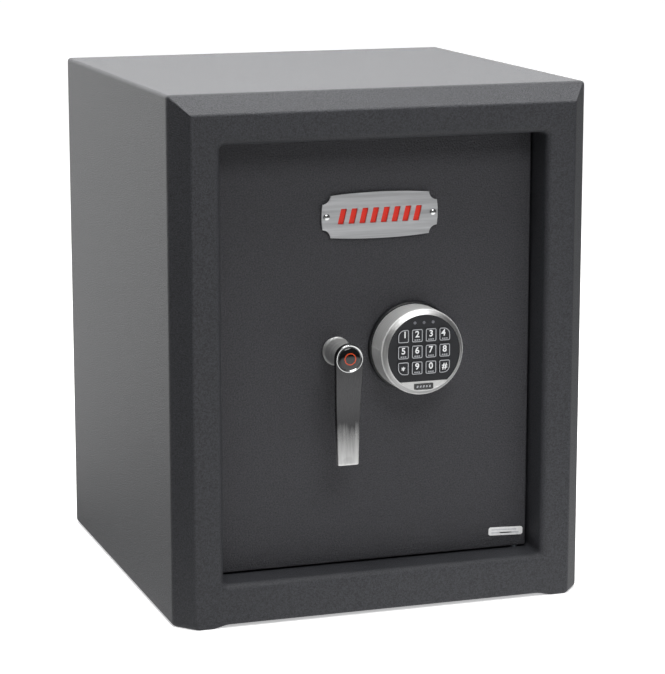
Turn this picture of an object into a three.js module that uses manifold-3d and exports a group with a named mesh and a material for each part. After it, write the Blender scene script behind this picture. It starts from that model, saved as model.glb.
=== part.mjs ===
// A fire-resisting steel safe with a motorised code lock, as a tree of separate named pieces.
// Millimetres, +Z up, the door faces -Y. Inside the safe group, y = 0 is the flat face of the front
// frame and +y runs into the body; x = 0 is the middle and z = 0 the floor it stands on.
import * as THREE from "three";
import { mergeVertices } from "three/addons/utils/BufferGeometryUtils.js";
import Module from "manifold-3d";

const wasm = await Module();
wasm.setup();

// ---- Driving dimensions -------------------------------------------------------------------

// Body
const bodyWidth = 400;
const bodyDepth = 400;
const bodyHeight = 485;
const shellSheet = 3;
const shellBend = 4;
const fillThickness = 19.1;
const linerSheet = 2;
const footRelief = 3; // the bottom sheet and the sill hang this far above the floor
const rearFootLength = 34;

// Front frame
const frameWidth = 44.3;
const bevelWidth = 16.7;
const bevelDepth = 19.4;
const frameBend = 5.5; // radius of the bend into the door opening
const lipOverlap = 3.3; // how far the frame runs back past the door plate
const sillTop = 40.2;

// Door
const doorRecess = 32.7;
const doorPlateThickness = 10;
const doorGap = 1.8;
const hingeSideGap = 2.6;
const hingeInset = 10; // from the door's edge to the pivot axis
const pivotRadius = 3.2;
const pivotSeat = 20; // length of a pivot pin in the frame, and again in the door
const panDepth = 40;
const panSheet = 1.6;
const panInset = 7.6; // keeps the pan clear of the jamb as the door swings
const panHingeInset = 23;

// Boltwork
const boltRadius = 9;
const boltTravel = 22;
const boltTipSetBack = 3; // a drawn bolt's tip, from the edge of the door plate
const boltSpacing = 105;
const boltFrontClearance = 2; // from the frame's lip to a thrown bolt
const barThickness = 5.5;
const barWidth = 8;
const gearModule = 2;
const pinionTeeth = 14;
const addendumShare = 0.8;
const backlash = 0.35;
const pressureAngle = THREE.MathUtils.degToRad(20);

// Lock, lever and keypad
const lockHeight = 244;
const leverX = -38.7;
const keypadX = 34.7;
const spindleRadius = 5;
const leverLength = 98.5; // from the spindle's axis to the tip
const leverHeadRadius = 13.4;
const leverTipWidth = 20;
const hubLength = 28;
const hubRadius = 11.6;
const hubFlare = 12.9; // radius beside the door
const leverThickness = 12;
const leverTipCurl = 2.5; // how far the tip stands out past the lever's face
const leverTipShift = 1.6; // the tip lies this far to the left of the spindle
const capRadius = 11.2;
const capDome = 2.4;
const baseRim = 2; // how far the base stands out past the housing
const baseThickness = 5;
const housingRim = 4.4; // width of the metal ring round the face
const housingFace = 36.2; // from the door to the housing's rim
const housingWall = 2.2;
const faceMargin = 1.05; // from the outermost key window to the face's edge
const faceChord = 26.4; // the keypad face is cut straight this far below its middle
const keyColumns = 4;
const keyRows = 3;
const keyPitchX = 13.4;
const keyPitchZ = 15.05;
const keyWidth = 11;
const keyHeight = 12.6;
const keyRise = 0.8;
const keyGap = 0.3;
const keyRowOffset = 1.2;
const keyTravel = 0.8;
const lockCaseWidth = 64;
const lockCaseHeight = 86;
const lockCaseDepth = 26;
const lockBoltHeight = 8;

// Fittings
const plateWidth = 111;
const plateHeight = 38.8;
const plateBulge = 2; // how far the plate's long edges bow out
const plateCorner = 8; // radius of the scooped corners
const plateX = 3.6;
const plateZ = 368;
const labelWidth = 35;
const labelHeight = 8;
const labelX = 132.4;
const labelZ = 57.3;
const labelTilt = THREE.MathUtils.degToRad(-2.5);
const shelfHeight = 240;
const shelfSheet = 1.6;
const matThickness = 2.5;
const anchorRadius = 6.5;

// Clearances
const fitGap = 0.3; // between pieces that are fixed to each other
const runGap = 0.5; // between pieces that move past each other
const faceted = 40; // sides of a medium round

// ---- Worked-out places --------------------------------------------------------------------

const halfWidth = bodyWidth / 2;
const openingHalf = halfWidth - frameWidth;
const openingTop = bodyHeight - frameWidth;
const wall = shellSheet + fillThickness + linerSheet + 2 * fitGap;
const linerHalf = halfWidth - wall;
const linerTop = bodyHeight - wall;
const linerFloor = footRelief + wall;
const linerBack = bodyDepth - wall;
const doorBack = doorRecess + doorPlateThickness;
const lipDepth = doorBack + lipOverlap;
const linerFront = lipDepth + fitGap;

const doorLeft = -openingHalf + doorGap;
const doorRight = openingHalf - hingeSideGap;
const doorBottom = sillTop + doorGap;
const doorTop = openingTop - doorGap;
const pivotX = doorRight - hingeInset;
const pivotY = doorRecess + doorPlateThickness / 2;
const panFront = doorBack + fitGap;
const panBack = panFront + panDepth;

const boltY = lipDepth + boltFrontClearance + boltRadius;
const pitchRadius = (gearModule * pinionTeeth) / 2;
const frontBarY = boltY - boltRadius + 0.5; // the upright bars run in front of the cross rack
const crossBarY = frontBarY + barThickness + 2;
const leverReach = hubLength + leverThickness + leverTipCurl;
const leverProud = leverReach - doorRecess;
const lockCaseFront = doorBack + 4.6;

// The keypad's face clears its corner keys, and its ring and base stand outside the face.
const keysRight = ((keyColumns - 1) / 2) * keyPitchX + keyWidth / 2 + keyGap;
const keysTop = keyRowOffset + ((keyRows - 1) / 2) * keyPitchZ + keyHeight / 2 + keyGap;
const faceRadius = Math.hypot(keysRight, keysTop) + faceMargin;
const housingRadius = faceRadius + housingRim;
const baseRadius = housingRadius + baseRim;
const lockCaseBottom = lockHeight - 28;

// ---- Materials ----------------------------------------------------------------------------

const finish = (color, roughness, metalness) =>
  new THREE.MeshStandardMaterial({ color, roughness, metalness });
const bodyPaint = finish("#3d3e41", 0.62, 0.1);
const doorPaint = finish("#303134", 0.66, 0.1);
const linerPaint = finish("#5a5c60", 0.6, 0.1);
const brushedSteel = finish("#b9bbbd", 0.34, 1);
const satinSteel = finish("#a9abad", 0.3, 1);
const zincSteel = finish("#9aa0a6", 0.38, 1);
const blackPlastic = finish("#121315", 0.5, 0);
const keypadRubber = finish("#17181b", 0.62, 0);
const redEnamel = finish("#b3161c", 0.35, 0);
const infill = finish("#8d8a84", 0.95, 0);
const matFelt = finish("#26272b", 0.98, 0);
const batteryCase = finish("#2f3b46", 0.4, 0.3);
const boardGreen = finish("#1f5a3c", 0.5, 0);
const whiteLabel = finish("#e6e7e8", 0.5, 0);

// ---- Geometry helpers ---------------------------------------------------------------------

const meshOf = (name, geometry, material) => {
  const mesh = new THREE.Mesh(geometry, material);
  mesh.name = name;
  return mesh;
};

// A closed geometry as a solid that can be joined and cut.
function toSolid(geometry) {
  const bare = geometry.clone();
  bare.deleteAttribute("normal");
  bare.deleteAttribute("uv");
  const merged = mergeVertices(bare, 1e-4);
  return new wasm.Manifold(
    new wasm.Mesh({
      numProp: 3,
      vertProperties: merged.attributes.position.array,
      triVerts: new Uint32Array(merged.index.array),
    }),
  );
}

function fromSolid(solid) {
  const data = solid.getMesh();
  const geometry = new THREE.BufferGeometry();
  geometry.setAttribute("position", new THREE.BufferAttribute(data.vertProperties, 3));
  geometry.setIndex(new THREE.BufferAttribute(data.triVerts, 1));
  return geometry;
}

const join = (...parts) =>
  fromSolid(parts.map(toSolid).reduce((sum, part) => sum.add(part)));
const cut = (body, ...tools) =>
  fromSolid(tools.map(toSolid).reduce((rest, tool) => rest.subtract(tool), toSolid(body)));
const common = (a, b) => fromSolid(toSolid(a).intersect(toSolid(b)));

// A block between two corners.
function block(x0, x1, y0, y1, z0, z1) {
  return new THREE.BoxGeometry(x1 - x0, y1 - y0, z1 - z0).translate(
    (x0 + x1) / 2,
    (y0 + y1) / 2,
    (z0 + z1) / 2,
  );
}

const extrude = (shape, depth, curveSegments) =>
  new THREE.ExtrudeGeometry(shape, { depth, bevelEnabled: false, curveSegments });

// An outline in x and z, pushed from y0 to y1.
const prismY = (shape, y0, y1, curveSegments = 6) =>
  extrude(shape, y1 - y0, curveSegments).rotateX(Math.PI / 2).translate(0, y1, 0);

// An outline in y and z, pushed from x0 to x1.
function prismX(shape, x0, x1, curveSegments = 6) {
  const turn = new THREE.Matrix4().makeBasis(
    new THREE.Vector3(0, 1, 0),
    new THREE.Vector3(0, 0, 1),
    new THREE.Vector3(1, 0, 0),
  );
  return extrude(shape, x1 - x0, curveSegments).applyMatrix4(turn).translate(x0, 0, 0);
}

// An outline in x and y, pushed from z0 to z1.
const prismZ = (shape, z0, z1, curveSegments = 6) =>
  extrude(shape, z1 - z0, curveSegments).translate(0, 0, z0);

const outline = (points) => new THREE.Shape(points.map(([a, b]) => new THREE.Vector2(a, b)));

// A rectangle whose corners are rounded by [bottom left, bottom right, top right, top left].
function roundedRect(x0, x1, y0, y1, radii) {
  const [bl, br, tr, tl] = Array.isArray(radii) ? radii : [radii, radii, radii, radii];
  const shape = new THREE.Shape();
  shape.moveTo(x0 + bl, y0);
  shape.lineTo(x1 - br, y0);
  if (br) shape.absarc(x1 - br, y0 + br, br, -Math.PI / 2, 0);
  shape.lineTo(x1, y1 - tr);
  if (tr) shape.absarc(x1 - tr, y1 - tr, tr, 0, Math.PI / 2);
  shape.lineTo(x0 + tl, y1);
  if (tl) shape.absarc(x0 + tl, y1 - tl, tl, Math.PI / 2, Math.PI);
  shape.lineTo(x0, y0 + bl);
  if (bl) shape.absarc(x0 + bl, y0 + bl, bl, Math.PI, 1.5 * Math.PI);
  return shape;
}

function circleHole(x, y, radius) {
  const path = new THREE.Path();
  path.absarc(x, y, radius, 0, 2 * Math.PI);
  return path;
}

// A round bar between two points on a line along an axis: "x", "y" or "z".
function rod(axis, at, from, to, radius, sides = 24) {
  const bar = new THREE.CylinderGeometry(radius, radius, to - from, sides);
  if (axis === "x") bar.rotateZ(-Math.PI / 2);
  if (axis === "z") bar.rotateX(Math.PI / 2);
  const middle = (from + to) / 2;
  const [a, b] = at;
  if (axis === "x") return bar.translate(middle, a, b);
  if (axis === "y") return bar.translate(a, middle, b);
  return bar.translate(a, b, middle);
}

// Turns a closed [radius, reach] profile about the y axis; reach counts outwards from the door.
function turned(profile, sides = faceted) {
  const points = profile.map(([radius, reach]) => new THREE.Vector2(radius, -reach));
  const area = points.reduce((sum, p, i) => {
    const q = points[(i + 1) % points.length];
    return sum + p.x * q.y - q.x * p.y;
  }, 0);
  if (area < 0) points.reverse();
  points.push(points[0].clone());
  return new THREE.LatheGeometry(points, sides);
}

const arcPoints = (cx, cy, radius, from, to, steps) =>
  Array.from({ length: steps + 1 }, (_, i) => {
    const angle = from + ((to - from) * i) / steps;
    return [cx + radius * Math.cos(angle), cy + radius * Math.sin(angle)];
  });

// ---- Cabinet ------------------------------------------------------------------------------

// The section of a frame member: u runs in from the body's outside, v back from the face.
function frameSection() {
  const bend = arcPoints(frameWidth - frameBend, frameBend, frameBend, -Math.PI / 2, 0, 4);
  const seat = shellSheet + fitGap;
  return [[0, bevelDepth], [bevelWidth, 0], ...bend, [frameWidth, lipDepth], [seat, lipDepth], [seat, bevelDepth]];
}

const mitreGap = fitGap / 2;

function frameStile(side) {
  const points = frameSection().map(([u, v]) => [side * (halfWidth - u), v]);
  const stile = prismZ(outline(points), 0, bodyHeight);
  const position = stile.attributes.position;
  for (let i = 0; i < position.count; i++) {
    if (position.getZ(i) < bodyHeight / 2) continue;
    position.setZ(i, bodyHeight - (halfWidth - Math.abs(position.getX(i))) - mitreGap);
  }
  return stile;
}

function frameTopRail() {
  const points = frameSection().map(([u, v]) => [v, bodyHeight - u]);
  const rail = prismX(outline(points), -halfWidth, halfWidth);
  const position = rail.attributes.position;
  for (let i = 0; i < position.count; i++) {
    const reach = halfWidth - (bodyHeight - position.getZ(i)) - mitreGap;
    position.setX(i, Math.sign(position.getX(i)) * reach);
  }
  return cut(rail, pivotHole(openingTop - 1, openingTop + pivotSeat + fitGap));
}

function frameSill() {
  const bend = arcPoints(frameBend, sillTop - frameBend, frameBend, Math.PI, Math.PI / 2, 4);
  const section = [[0, footRelief], [lipDepth, footRelief], [lipDepth, sillTop], ...bend.reverse()];
  const half = openingHalf - fitGap;
  const sill = prismX(outline(section), -half, half);
  return cut(sill, pivotHole(sillTop - pivotSeat - fitGap, sillTop + 1));
}

const pivotHole = (from, to) => rod("z", [pivotX, pivotY], from, to, pivotRadius + fitGap, 16);
const pivotPin = (from, to) => rod("z", [pivotX, pivotY], from, to, pivotRadius, 16);

// The welded sheet body: top, sides and a raised bottom, open at the front and the back.
function bodyShell() {
  const radii = [0, 0, shellBend, shellBend];
  const shape = roundedRect(-halfWidth, halfWidth, 0, bodyHeight, radii);
  const inner = halfWidth - shellSheet;
  const cavity = roundedRect(-inner, inner, footRelief + shellSheet, bodyHeight - shellSheet, [0, 0, 1, 1]);
  shape.holes.push(cavity);
  const front = bevelDepth + fitGap;
  const tube = prismY(shape, front, bodyDepth, 3);
  const relief = block(-inner, inner, front - 1, bodyDepth - rearFootLength, -1, footRelief);
  const behind = inner - rearFootLength;
  const rearRelief = block(-behind, behind, bodyDepth - rearFootLength - 1, bodyDepth + 1, -1, footRelief);
  const anchorHole = rod("z", [0, anchorY], -1, footRelief + shellSheet + 1, anchorRadius + fitGap, 16);
  const sillSeat = block(-inner, inner, front - 1, lipDepth + fitGap, -1, footRelief + shellSheet + 1);
  return cut(tube, relief, rearRelief, sillSeat, anchorHole);
}

const anchorY = (linerFront + linerBack) / 2;

function backPanel() {
  const half = halfWidth - shellSheet - fitGap;
  const low = footRelief + shellSheet + fitGap;
  const high = bodyHeight - shellSheet - fitGap;
  return block(-half, half, bodyDepth - shellSheet, bodyDepth, low, high);
}

// The cast fire-resisting infill, one piece around the liner and behind it.
function wallFill() {
  const out = halfWidth - shellSheet - fitGap;
  const low = footRelief + shellSheet + fitGap;
  const high = bodyHeight - shellSheet - fitGap;
  const hollow = linerHalf + linerSheet + fitGap;
  const hollowLow = linerFloor - linerSheet - fitGap;
  const hollowHigh = linerTop + linerSheet + fitGap;
  const cast = block(-out, out, linerFront, bodyDepth - shellSheet - fitGap, low, high);
  const room = block(-hollow, hollow, linerFront - 1, linerBack + linerSheet + fitGap, hollowLow, hollowHigh);
  const anchorHole = rod("z", [0, anchorY], low - 1, hollowLow + 1, anchorRadius + fitGap, 16);
  return cut(cast, room, anchorHole);
}

function linerWrap() {
  const half = linerHalf + linerSheet;
  const shape = roundedRect(-half, half, linerFloor - linerSheet, linerTop + linerSheet, 0);
  shape.holes.push(roundedRect(-linerHalf, linerHalf, linerFloor, linerTop, 0));
  const tube = prismY(shape, linerFront, linerBack - fitGap);
  const low = linerFloor - linerSheet - 1;
  return cut(tube, rod("z", [0, anchorY], low, linerFloor + 1, anchorRadius + fitGap, 16));
}

function linerBackPlate() {
  const half = linerHalf + linerSheet;
  const low = linerFloor - linerSheet;
  return block(-half, half, linerBack, linerBack + linerSheet, low, linerTop + linerSheet);
}

// A plug that closes the bolt-down hole: a head on the liner's floor and a stem through the wall.
function anchorPlug() {
  const head = anchorRadius + 4;
  const floor = linerFloor + fitGap;
  const profile = [[0, 12], [anchorRadius - 0.5, 12], [anchorRadius, 13], [anchorRadius, floor]];
  profile.push([head, floor], [head, floor + 1], [head - 1, floor + 2], [0, floor + 2]);
  return turned(profile.map(([r, z]) => [r, -z]), 20).rotateX(Math.PI / 2).translate(0, anchorY, 0);
}

function floorMat() {
  const margin = 4;
  const half = linerHalf - margin;
  const front = panBack + margin;
  const shape = new THREE.Shape([
    new THREE.Vector2(-half, front),
    new THREE.Vector2(half, front),
    new THREE.Vector2(half, linerBack - margin),
    new THREE.Vector2(-half, linerBack - margin),
  ]);
  shape.holes.push(circleHole(0, anchorY, anchorRadius + 5));
  return prismZ(shape, linerFloor + fitGap, linerFloor + fitGap + matThickness);
}

// ---- Shelf ----

const shelfFront = panBack + 8;
const supportLeg = 14;

function shelf() {
  const back = linerBack - 3;
  const lip = 14;
  const top = shelfHeight + shelfSheet;
  const section = [[shelfFront, shelfHeight - lip], [shelfFront + shelfSheet, shelfHeight - lip]];
  section.push([shelfFront + shelfSheet, shelfHeight], [back, shelfHeight], [back, top], [shelfFront, top]);
  const half = linerHalf - 1;
  return prismX(outline(section), -half, half);
}

function shelfSupport(side) {
  const out = linerHalf - fitGap;
  const top = shelfHeight - fitGap;
  const leg = out - supportLeg;
  const section = [[out, top - supportLeg], [out, top], [leg, top], [leg, top - shelfSheet]];
  section.push([out - shelfSheet, top - shelfSheet], [out - shelfSheet, top - supportLeg]);
  const start = shelfFront + 8;
  return prismY(outline(section.map(([x, z]) => [side * x, z])), start, linerBack - 10);
}

// ---- Door ---------------------------------------------------------------------------------

const bushHole = spindleRadius + 3.8;
const cableRadius = 1.8;
const cableX = keypadX;
const cableZ = lockHeight - 35;
const screwRadius = 1.5;
const screwInset = 4; // from the plate's end
const plateScrews = [-1, 1].map((side) => plateX + side * (plateWidth / 2 - screwInset));
const dogHeights = [lockHeight - boltSpacing, lockHeight + boltSpacing];
const dogRadius = 8;

function doorPlate() {
  const shape = roundedRect(doorLeft, doorRight, doorBottom, doorTop, 1.5);
  const plate = prismY(shape, doorRecess, doorBack, 3);
  const through = (x, z, radius) => rod("y", [x, z], doorRecess - 1, doorBack + 1, radius, 28);
  const depth = pivotSeat + 2;
  return cut(
    plate,
    through(leverX, lockHeight, bushHole + fitGap),
    through(cableX, cableZ, cableRadius + 1.2),
    ...plateScrews.map((x) => through(x, plateZ, screwRadius + 0.3)),
    pivotHole(doorTop - depth, doorTop + 1),
    pivotHole(doorBottom - 1, doorBottom + depth),
  );
}

// The pressed cover behind the door plate that houses the boltwork, open towards the plate.
function doorPan() {
  const left = doorLeft + panInset;
  const right = doorRight - panHingeInset;
  const low = doorBottom + panInset;
  const high = doorTop - panInset;
  const box = block(left, right, panFront, panBack, low, high);
  const room = block(
    left + panSheet, right - panSheet, panFront - 1, panBack - panSheet, low + panSheet, high - panSheet,
  );
  const hole = boltRadius + runGap;
  const slots = boltHeights.map((z) => rod("x", [boltY, z], left - 1, left + panSheet + 1, hole));
  const dogs = dogHeights.map((z) => rod("x", [boltY, z], right - panSheet - 1, right + 1, dogRadius + fitGap));
  const topSlot = rod("z", [topBoltX, boltY], high - panSheet - 1, high + 1, hole);
  const lowSlot = rod("z", [bottomBoltX, boltY], low - 1, low + panSheet + 1, hole);
  return cut(box, room, ...slots, ...dogs, topSlot, lowSlot);
}

// A fixed bolt on the hinge side that stays behind the frame if the pivots are cut away.
function dogBolt(z) {
  const from = doorRight - panHingeInset - 14;
  const tip = openingHalf + 12;
  const pin = rod("x", [boltY, z], from, tip, dogRadius);
  const top = dogRadius - 1;
  const weldBlock = block(from, from + 9, panFront, boltY, z - top, z + top);
  return join(pin, weldBlock);
}

function namePlateShape() {
  const halfW = plateWidth / 2;
  const halfH = plateHeight / 2;
  const scoop = plateCorner;
  const shape = new THREE.Shape();
  shape.moveTo(-halfW + scoop, -halfH);
  shape.quadraticCurveTo(0, -halfH - 2 * plateBulge, halfW - scoop, -halfH);
  shape.absarc(halfW, -halfH, scoop, Math.PI, Math.PI / 2, true);
  shape.quadraticCurveTo(halfW + plateBulge, 0, halfW, halfH - scoop);
  shape.absarc(halfW, halfH, scoop, -Math.PI / 2, -Math.PI, true);
  shape.quadraticCurveTo(0, halfH + 2 * plateBulge, -halfW + scoop, halfH);
  shape.absarc(-halfW, halfH, scoop, 0, -Math.PI / 2, true);
  shape.quadraticCurveTo(-halfW - plateBulge, 0, -halfW, -halfH + scoop);
  shape.absarc(-halfW, -halfH, scoop, Math.PI / 2, 0, true);
  return shape;
}

const backingThickness = 0.8;
const plateSheet = 1.2;
const windowCount = 8;
const windowWidth = 5.6;
const windowHeight = 14;
const windowPitch = 10.4;
const windowLean = 1.7; // sideways from the middle to either end of a slot

// A pressed cover plate with a row of plain slanted slots over the red backing.
function namePlate() {
  const back = doorRecess - fitGap - backingThickness - fitGap;
  const sheet = prismY(namePlateShape(), back - plateSheet, back, 8).translate(plateX, 0, plateZ);
  const low = plateZ - windowHeight / 2;
  const high = plateZ + windowHeight / 2;
  const half = windowWidth / 2;
  const windows = Array.from({ length: windowCount }, (_, i) => {
    const x = plateX + (i - (windowCount - 1) / 2) * windowPitch;
    const slot = outline([
      [x - half - windowLean, low],
      [x + half - windowLean, low],
      [x + half + windowLean, high],
      [x - half + windowLean, high],
    ]);
    return prismY(slot, back - plateSheet - 1, back + 1);
  });
  const front = back - plateSheet;
  const holes = plateScrews.map((x) => rod("y", [x, plateZ], front - 1, back + 1, screwRadius + 0.3, 16));
  return cut(sheet, ...windows, ...holes);
}

function namePlateBacking() {
  const half = (windowCount * windowPitch) / 2 + 2;
  const shape = roundedRect(plateX - half, plateX + half, plateZ - 11, plateZ + 11, 2);
  return prismY(shape, doorRecess - fitGap - backingThickness, doorRecess - fitGap, 3);
}

// A domed screw: its shank passes through the plate into the door.
function plateScrew() {
  const seat = 2 * fitGap + backingThickness + plateSheet + fitGap;
  const head = arcPoints(0, seat - 1.6, 4.2, Math.asin(1.6 / 4.2), Math.PI / 2, 4);
  return turned([[0, -7], [screwRadius, -7], [screwRadius, seat], ...head.slice(0, -1), [0, seat + 2.6]], 20);
}

function ratingLabel() {
  const shape = roundedRect(-labelWidth / 2, labelWidth / 2, -labelHeight / 2, labelHeight / 2, 2.4);
  const label = prismY(shape, -fitGap - 0.3, -fitGap, 4);
  return label.rotateY(-labelTilt).translate(labelX, doorRecess, labelZ);
}

function spindleBush() {
  const bore = spindleRadius + runGap;
  const back = -doorPlateThickness;
  const profile = [[bore, -0.2], [bushHole, -0.2], [bushHole, back - fitGap]];
  profile.push([bushHole + 3, back - fitGap], [bushHole + 3, back - 3], [bore, back - 3]);
  return turned(profile, 28);
}

// A hard steel plate that shields the lock case from drilling.
function hardPlate() {
  const low = lockCaseBottom - 16;
  const high = lockCaseBottom + lockCaseHeight + 6;
  const shape = roundedRect(keypadX - 40, keypadX + 40, low, high, 3);
  shape.holes.push(circleHole(cableX, cableZ, cableRadius + 1.2));
  return prismY(shape, doorBack + fitGap, lockCaseFront - fitGap, 3);
}

const lockBoltZ = lockHeight;
const lockBoltLength = 40;
const lugReach = 9;
const caseLeft = keypadX - lockCaseWidth / 2;

function lockCase() {
  const back = lockCaseFront + lockCaseDepth;
  const top = lockCaseBottom + lockCaseHeight;
  const box = block(caseLeft, caseLeft + lockCaseWidth, lockCaseFront, back, lockCaseBottom, top);
  const half = lockBoltHeight / 2 + runGap;
  const y0 = frontBarY - runGap;
  const y1 = frontBarY + barThickness + runGap;
  const slot = block(caseLeft - 1, caseLeft + lockBoltLength, y0, y1, lockBoltZ - half, lockBoltZ + half);
  const foot = lockCaseBottom;
  const socket = rod("z", [cableX, cableSocketY], foot - 1, foot + 6, cableRadius + 0.6, 16);
  return cut(box, slot, socket);
}

const cableSocketY = lockCaseFront + lockCaseDepth / 2;

// The lead from the keypad through the door to the lock, held in its clips all the way.
function keypadCable() {
  const route = new THREE.CatmullRomCurve3([
    new THREE.Vector3(cableX, doorRecess - baseThickness + 1.5, cableZ),
    new THREE.Vector3(cableX, doorRecess + 2, cableZ),
    new THREE.Vector3(cableX, lockCaseFront + 1, cableZ - 0.5),
    new THREE.Vector3(cableX, cableSocketY - 2.5, cableZ - 0.2),
    new THREE.Vector3(cableX, cableSocketY, lockCaseBottom - 2),
    new THREE.Vector3(cableX, cableSocketY, lockCaseBottom + 5),
  ]);
  const section = new THREE.Shape();
  section.absarc(0, 0, cableRadius, 0, 2 * Math.PI);
  return new THREE.ExtrudeGeometry(section, {
    extrudePath: route,
    steps: 26,
    curveSegments: 4,
    bevelEnabled: false,
  });
}

// ---- Lever and boltwork -------------------------------------------------------------------

// The lever's outline seen from the front, about the spindle's axis.
function leverOutline() {
  const left = -leverTipShift - leverTipWidth / 2;
  const right = left + leverTipWidth;
  const low = -leverLength;
  const corner = 2.5;
  const shape = new THREE.Shape();
  shape.moveTo(-leverHeadRadius, 0);
  shape.lineTo(left, low + corner);
  shape.absarc(left + corner, low + corner, corner, Math.PI, 1.5 * Math.PI);
  shape.lineTo(right - corner, low);
  shape.absarc(right - corner, low + corner, corner, -Math.PI / 2, 0);
  shape.lineTo(leverHeadRadius, 0);
  shape.absarc(0, 0, leverHeadRadius, 0, Math.PI);
  return shape;
}

// Its outline seen from the side: the arm thins towards the tip, which curls away from the door.
function leverSide() {
  const face = -(hubLength + leverThickness);
  const low = -leverLength;
  const shape = new THREE.Shape();
  shape.moveTo(-hubLength, leverHeadRadius + 1);
  shape.lineTo(-hubLength, -leverHeadRadius);
  shape.quadraticCurveTo(-hubLength - 2, -leverHeadRadius - 12, -hubLength - 4, low / 2);
  shape.lineTo(-hubLength - 4.5, low + 22);
  shape.quadraticCurveTo(-hubLength - 5, low + 6, -hubLength - 10, low - 1);
  shape.lineTo(face - leverTipCurl, low - 1);
  shape.lineTo(face - leverTipCurl, low + 1);
  shape.quadraticCurveTo(face - 0.5, low + 8, face, low + 20);
  shape.lineTo(face, leverHeadRadius + 1);
  return shape;
}

function handleLever() {
  const arm = common(
    prismY(leverOutline(), -leverReach - 1, 0, 14),
    prismX(leverSide(), -leverHeadRadius - 1, leverHeadRadius + 1, 5),
  );
  const seat = 0.6;
  const top = hubLength + 1;
  const hub = turned(
    [[0, seat], [hubFlare, seat], [hubFlare, seat + 2], [hubRadius, seat + 6], [hubRadius, top], [0, top]],
    32,
  );
  const bore = rod("y", [0, 0], -hubLength - 4, 0.5, spindleRadius + fitGap, 20);
  return cut(join(arm, hub), bore);
}

function handleCap() {
  const seat = hubLength + leverThickness + fitGap;
  const quarter = arcPoints(0, 0, 1, 0, Math.PI / 2, 5);
  const dome = quarter.map(([c, s]) => [capRadius * c, seat + 0.5 + capDome * s]);
  return turned([[0, seat], [capRadius, seat], ...dome.slice(0, -1), [0, seat + 0.5 + capDome]], 32);
}

const spindleFront = -(hubLength + 3.5);
const spindleBack = crossBarY + barThickness + 4.5 - doorRecess;
const handleSpindle = () => rod("y", [0, 0], spindleFront, spindleBack, spindleRadius, 20);

// A spur gear's outline: involute flanks from the base circle to stub tips.
function pinionShape() {
  const base = pitchRadius * Math.cos(pressureAngle);
  const tip = pitchRadius + addendumShare * gearModule;
  const root = pitchRadius - rackRoot;
  const involute = (r) => {
    const a = Math.acos(Math.min(1, base / r));
    return Math.tan(a) - a;
  };
  const halfTooth = Math.PI / 2 / pinionTeeth - backlash / 2 / pitchRadius + involute(pitchRadius);
  const levels = [base, base + (tip - base) / 3, base + (2 * (tip - base)) / 3, tip];
  const points = [];
  for (let tooth = 0; tooth < pinionTeeth; tooth++) {
    const middle = (2 * Math.PI * tooth) / pinionTeeth;
    const at = (r, angle) => points.push([r * Math.cos(middle + angle), r * Math.sin(middle + angle)]);
    at(root, -halfTooth - 0.01);
    levels.forEach((r) => at(r, -halfTooth + involute(r)));
    [...levels].reverse().forEach((r) => at(r, halfTooth - involute(r)));
    at(root, halfTooth + 0.01);
  }
  const shape = outline(points);
  shape.holes.push(circleHole(0, 0, spindleRadius + fitGap));
  return shape;
}

function pinion() {
  const front = frontBarY - 0.8 - doorRecess;
  return prismY(pinionShape(), front, crossBarY + barThickness + 0.8 - doorRecess, 6);
}

function spindleClip() {
  const y = crossBarY + barThickness + 1.6 - doorRecess;
  const shape = new THREE.Shape();
  const open = 0.55;
  const inner = spindleRadius + fitGap;
  shape.absarc(0, 0, inner + 3, open, 2 * Math.PI - open);
  shape.absarc(0, 0, inner, 2 * Math.PI - open, open, true);
  return prismY(shape, y, y + 1.2, 10);
}

// A straight rack along +a, its pitch line on b = 0 and its teeth up to b > 0; the bar lies below.
// Spaces are centred on whole pitches from a = 0, or teeth when the pinion has a space there.
function rackPoints(from, to, thickness, phase) {
  const pitch = Math.PI * gearModule;
  const add = addendumShare * gearModule;
  const ded = rackRoot;
  const slope = Math.tan(pressureAngle);
  const half = pitch / 4 - backlash / 2;
  const points = [[from, -thickness], [from, -ded]];
  const first = Math.ceil((from + half + ded * slope) / pitch - phase);
  const last = Math.floor((to - half - ded * slope) / pitch - phase);
  for (let k = first; k <= last; k++) {
    const a = (k + phase) * pitch;
    points.push([a - half - ded * slope, -ded], [a - half + add * slope, add]);
    points.push([a + half - add * slope, add], [a + half + ded * slope, -ded]);
  }
  points.push([to, -ded], [to, -thickness]);
  return points;
}

const rackLead = 9; // rack kept past the mesh point at each end
const rackRoot = 1.1 * gearModule; // depth of a tooth space below the pitch line
const rackBack = rackRoot + barWidth;
const guideX = doorLeft + panInset + panSheet + 6;
const carriageWidth = 6;
const carriageX = guideX + 4 + 2 + boltTravel; // the drawn carriage bar's near face
const boltTip = doorLeft + boltTipSetBack;
const boltHeights = [-1, 0, 1].map((k) => lockHeight + k * boltSpacing);

// The cross bar that carries the three side bolts, with its rack under the pinion.
function sideCarriage() {
  const reach = boltSpacing + boltRadius + 6;
  const upright = block(
    carriageX,
    carriageX + carriageWidth,
    boltY - boltRadius,
    boltY + boltRadius,
    lockHeight - reach,
    lockHeight + reach,
  );
  const start = carriageX + carriageWidth / 2 - leverX;
  const rack = rackPoints(start, boltTravel + rackLead, rackBack, pinionPhase.below);
  const points = rack.map(([a, b]) => [leverX + a, lockHeight - pitchRadius + b]);
  return join(upright, prismY(outline(points), crossBarY, crossBarY + barThickness));
}

// Where the pinion shows a tooth, the rack shows a space.
const pinionPhase = {
  left: pinionTeeth % 2 ? 0 : 0.5,
  right: 0.5,
  below: (pinionTeeth / 4) % 1 ? 0 : 0.5,
};

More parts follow.
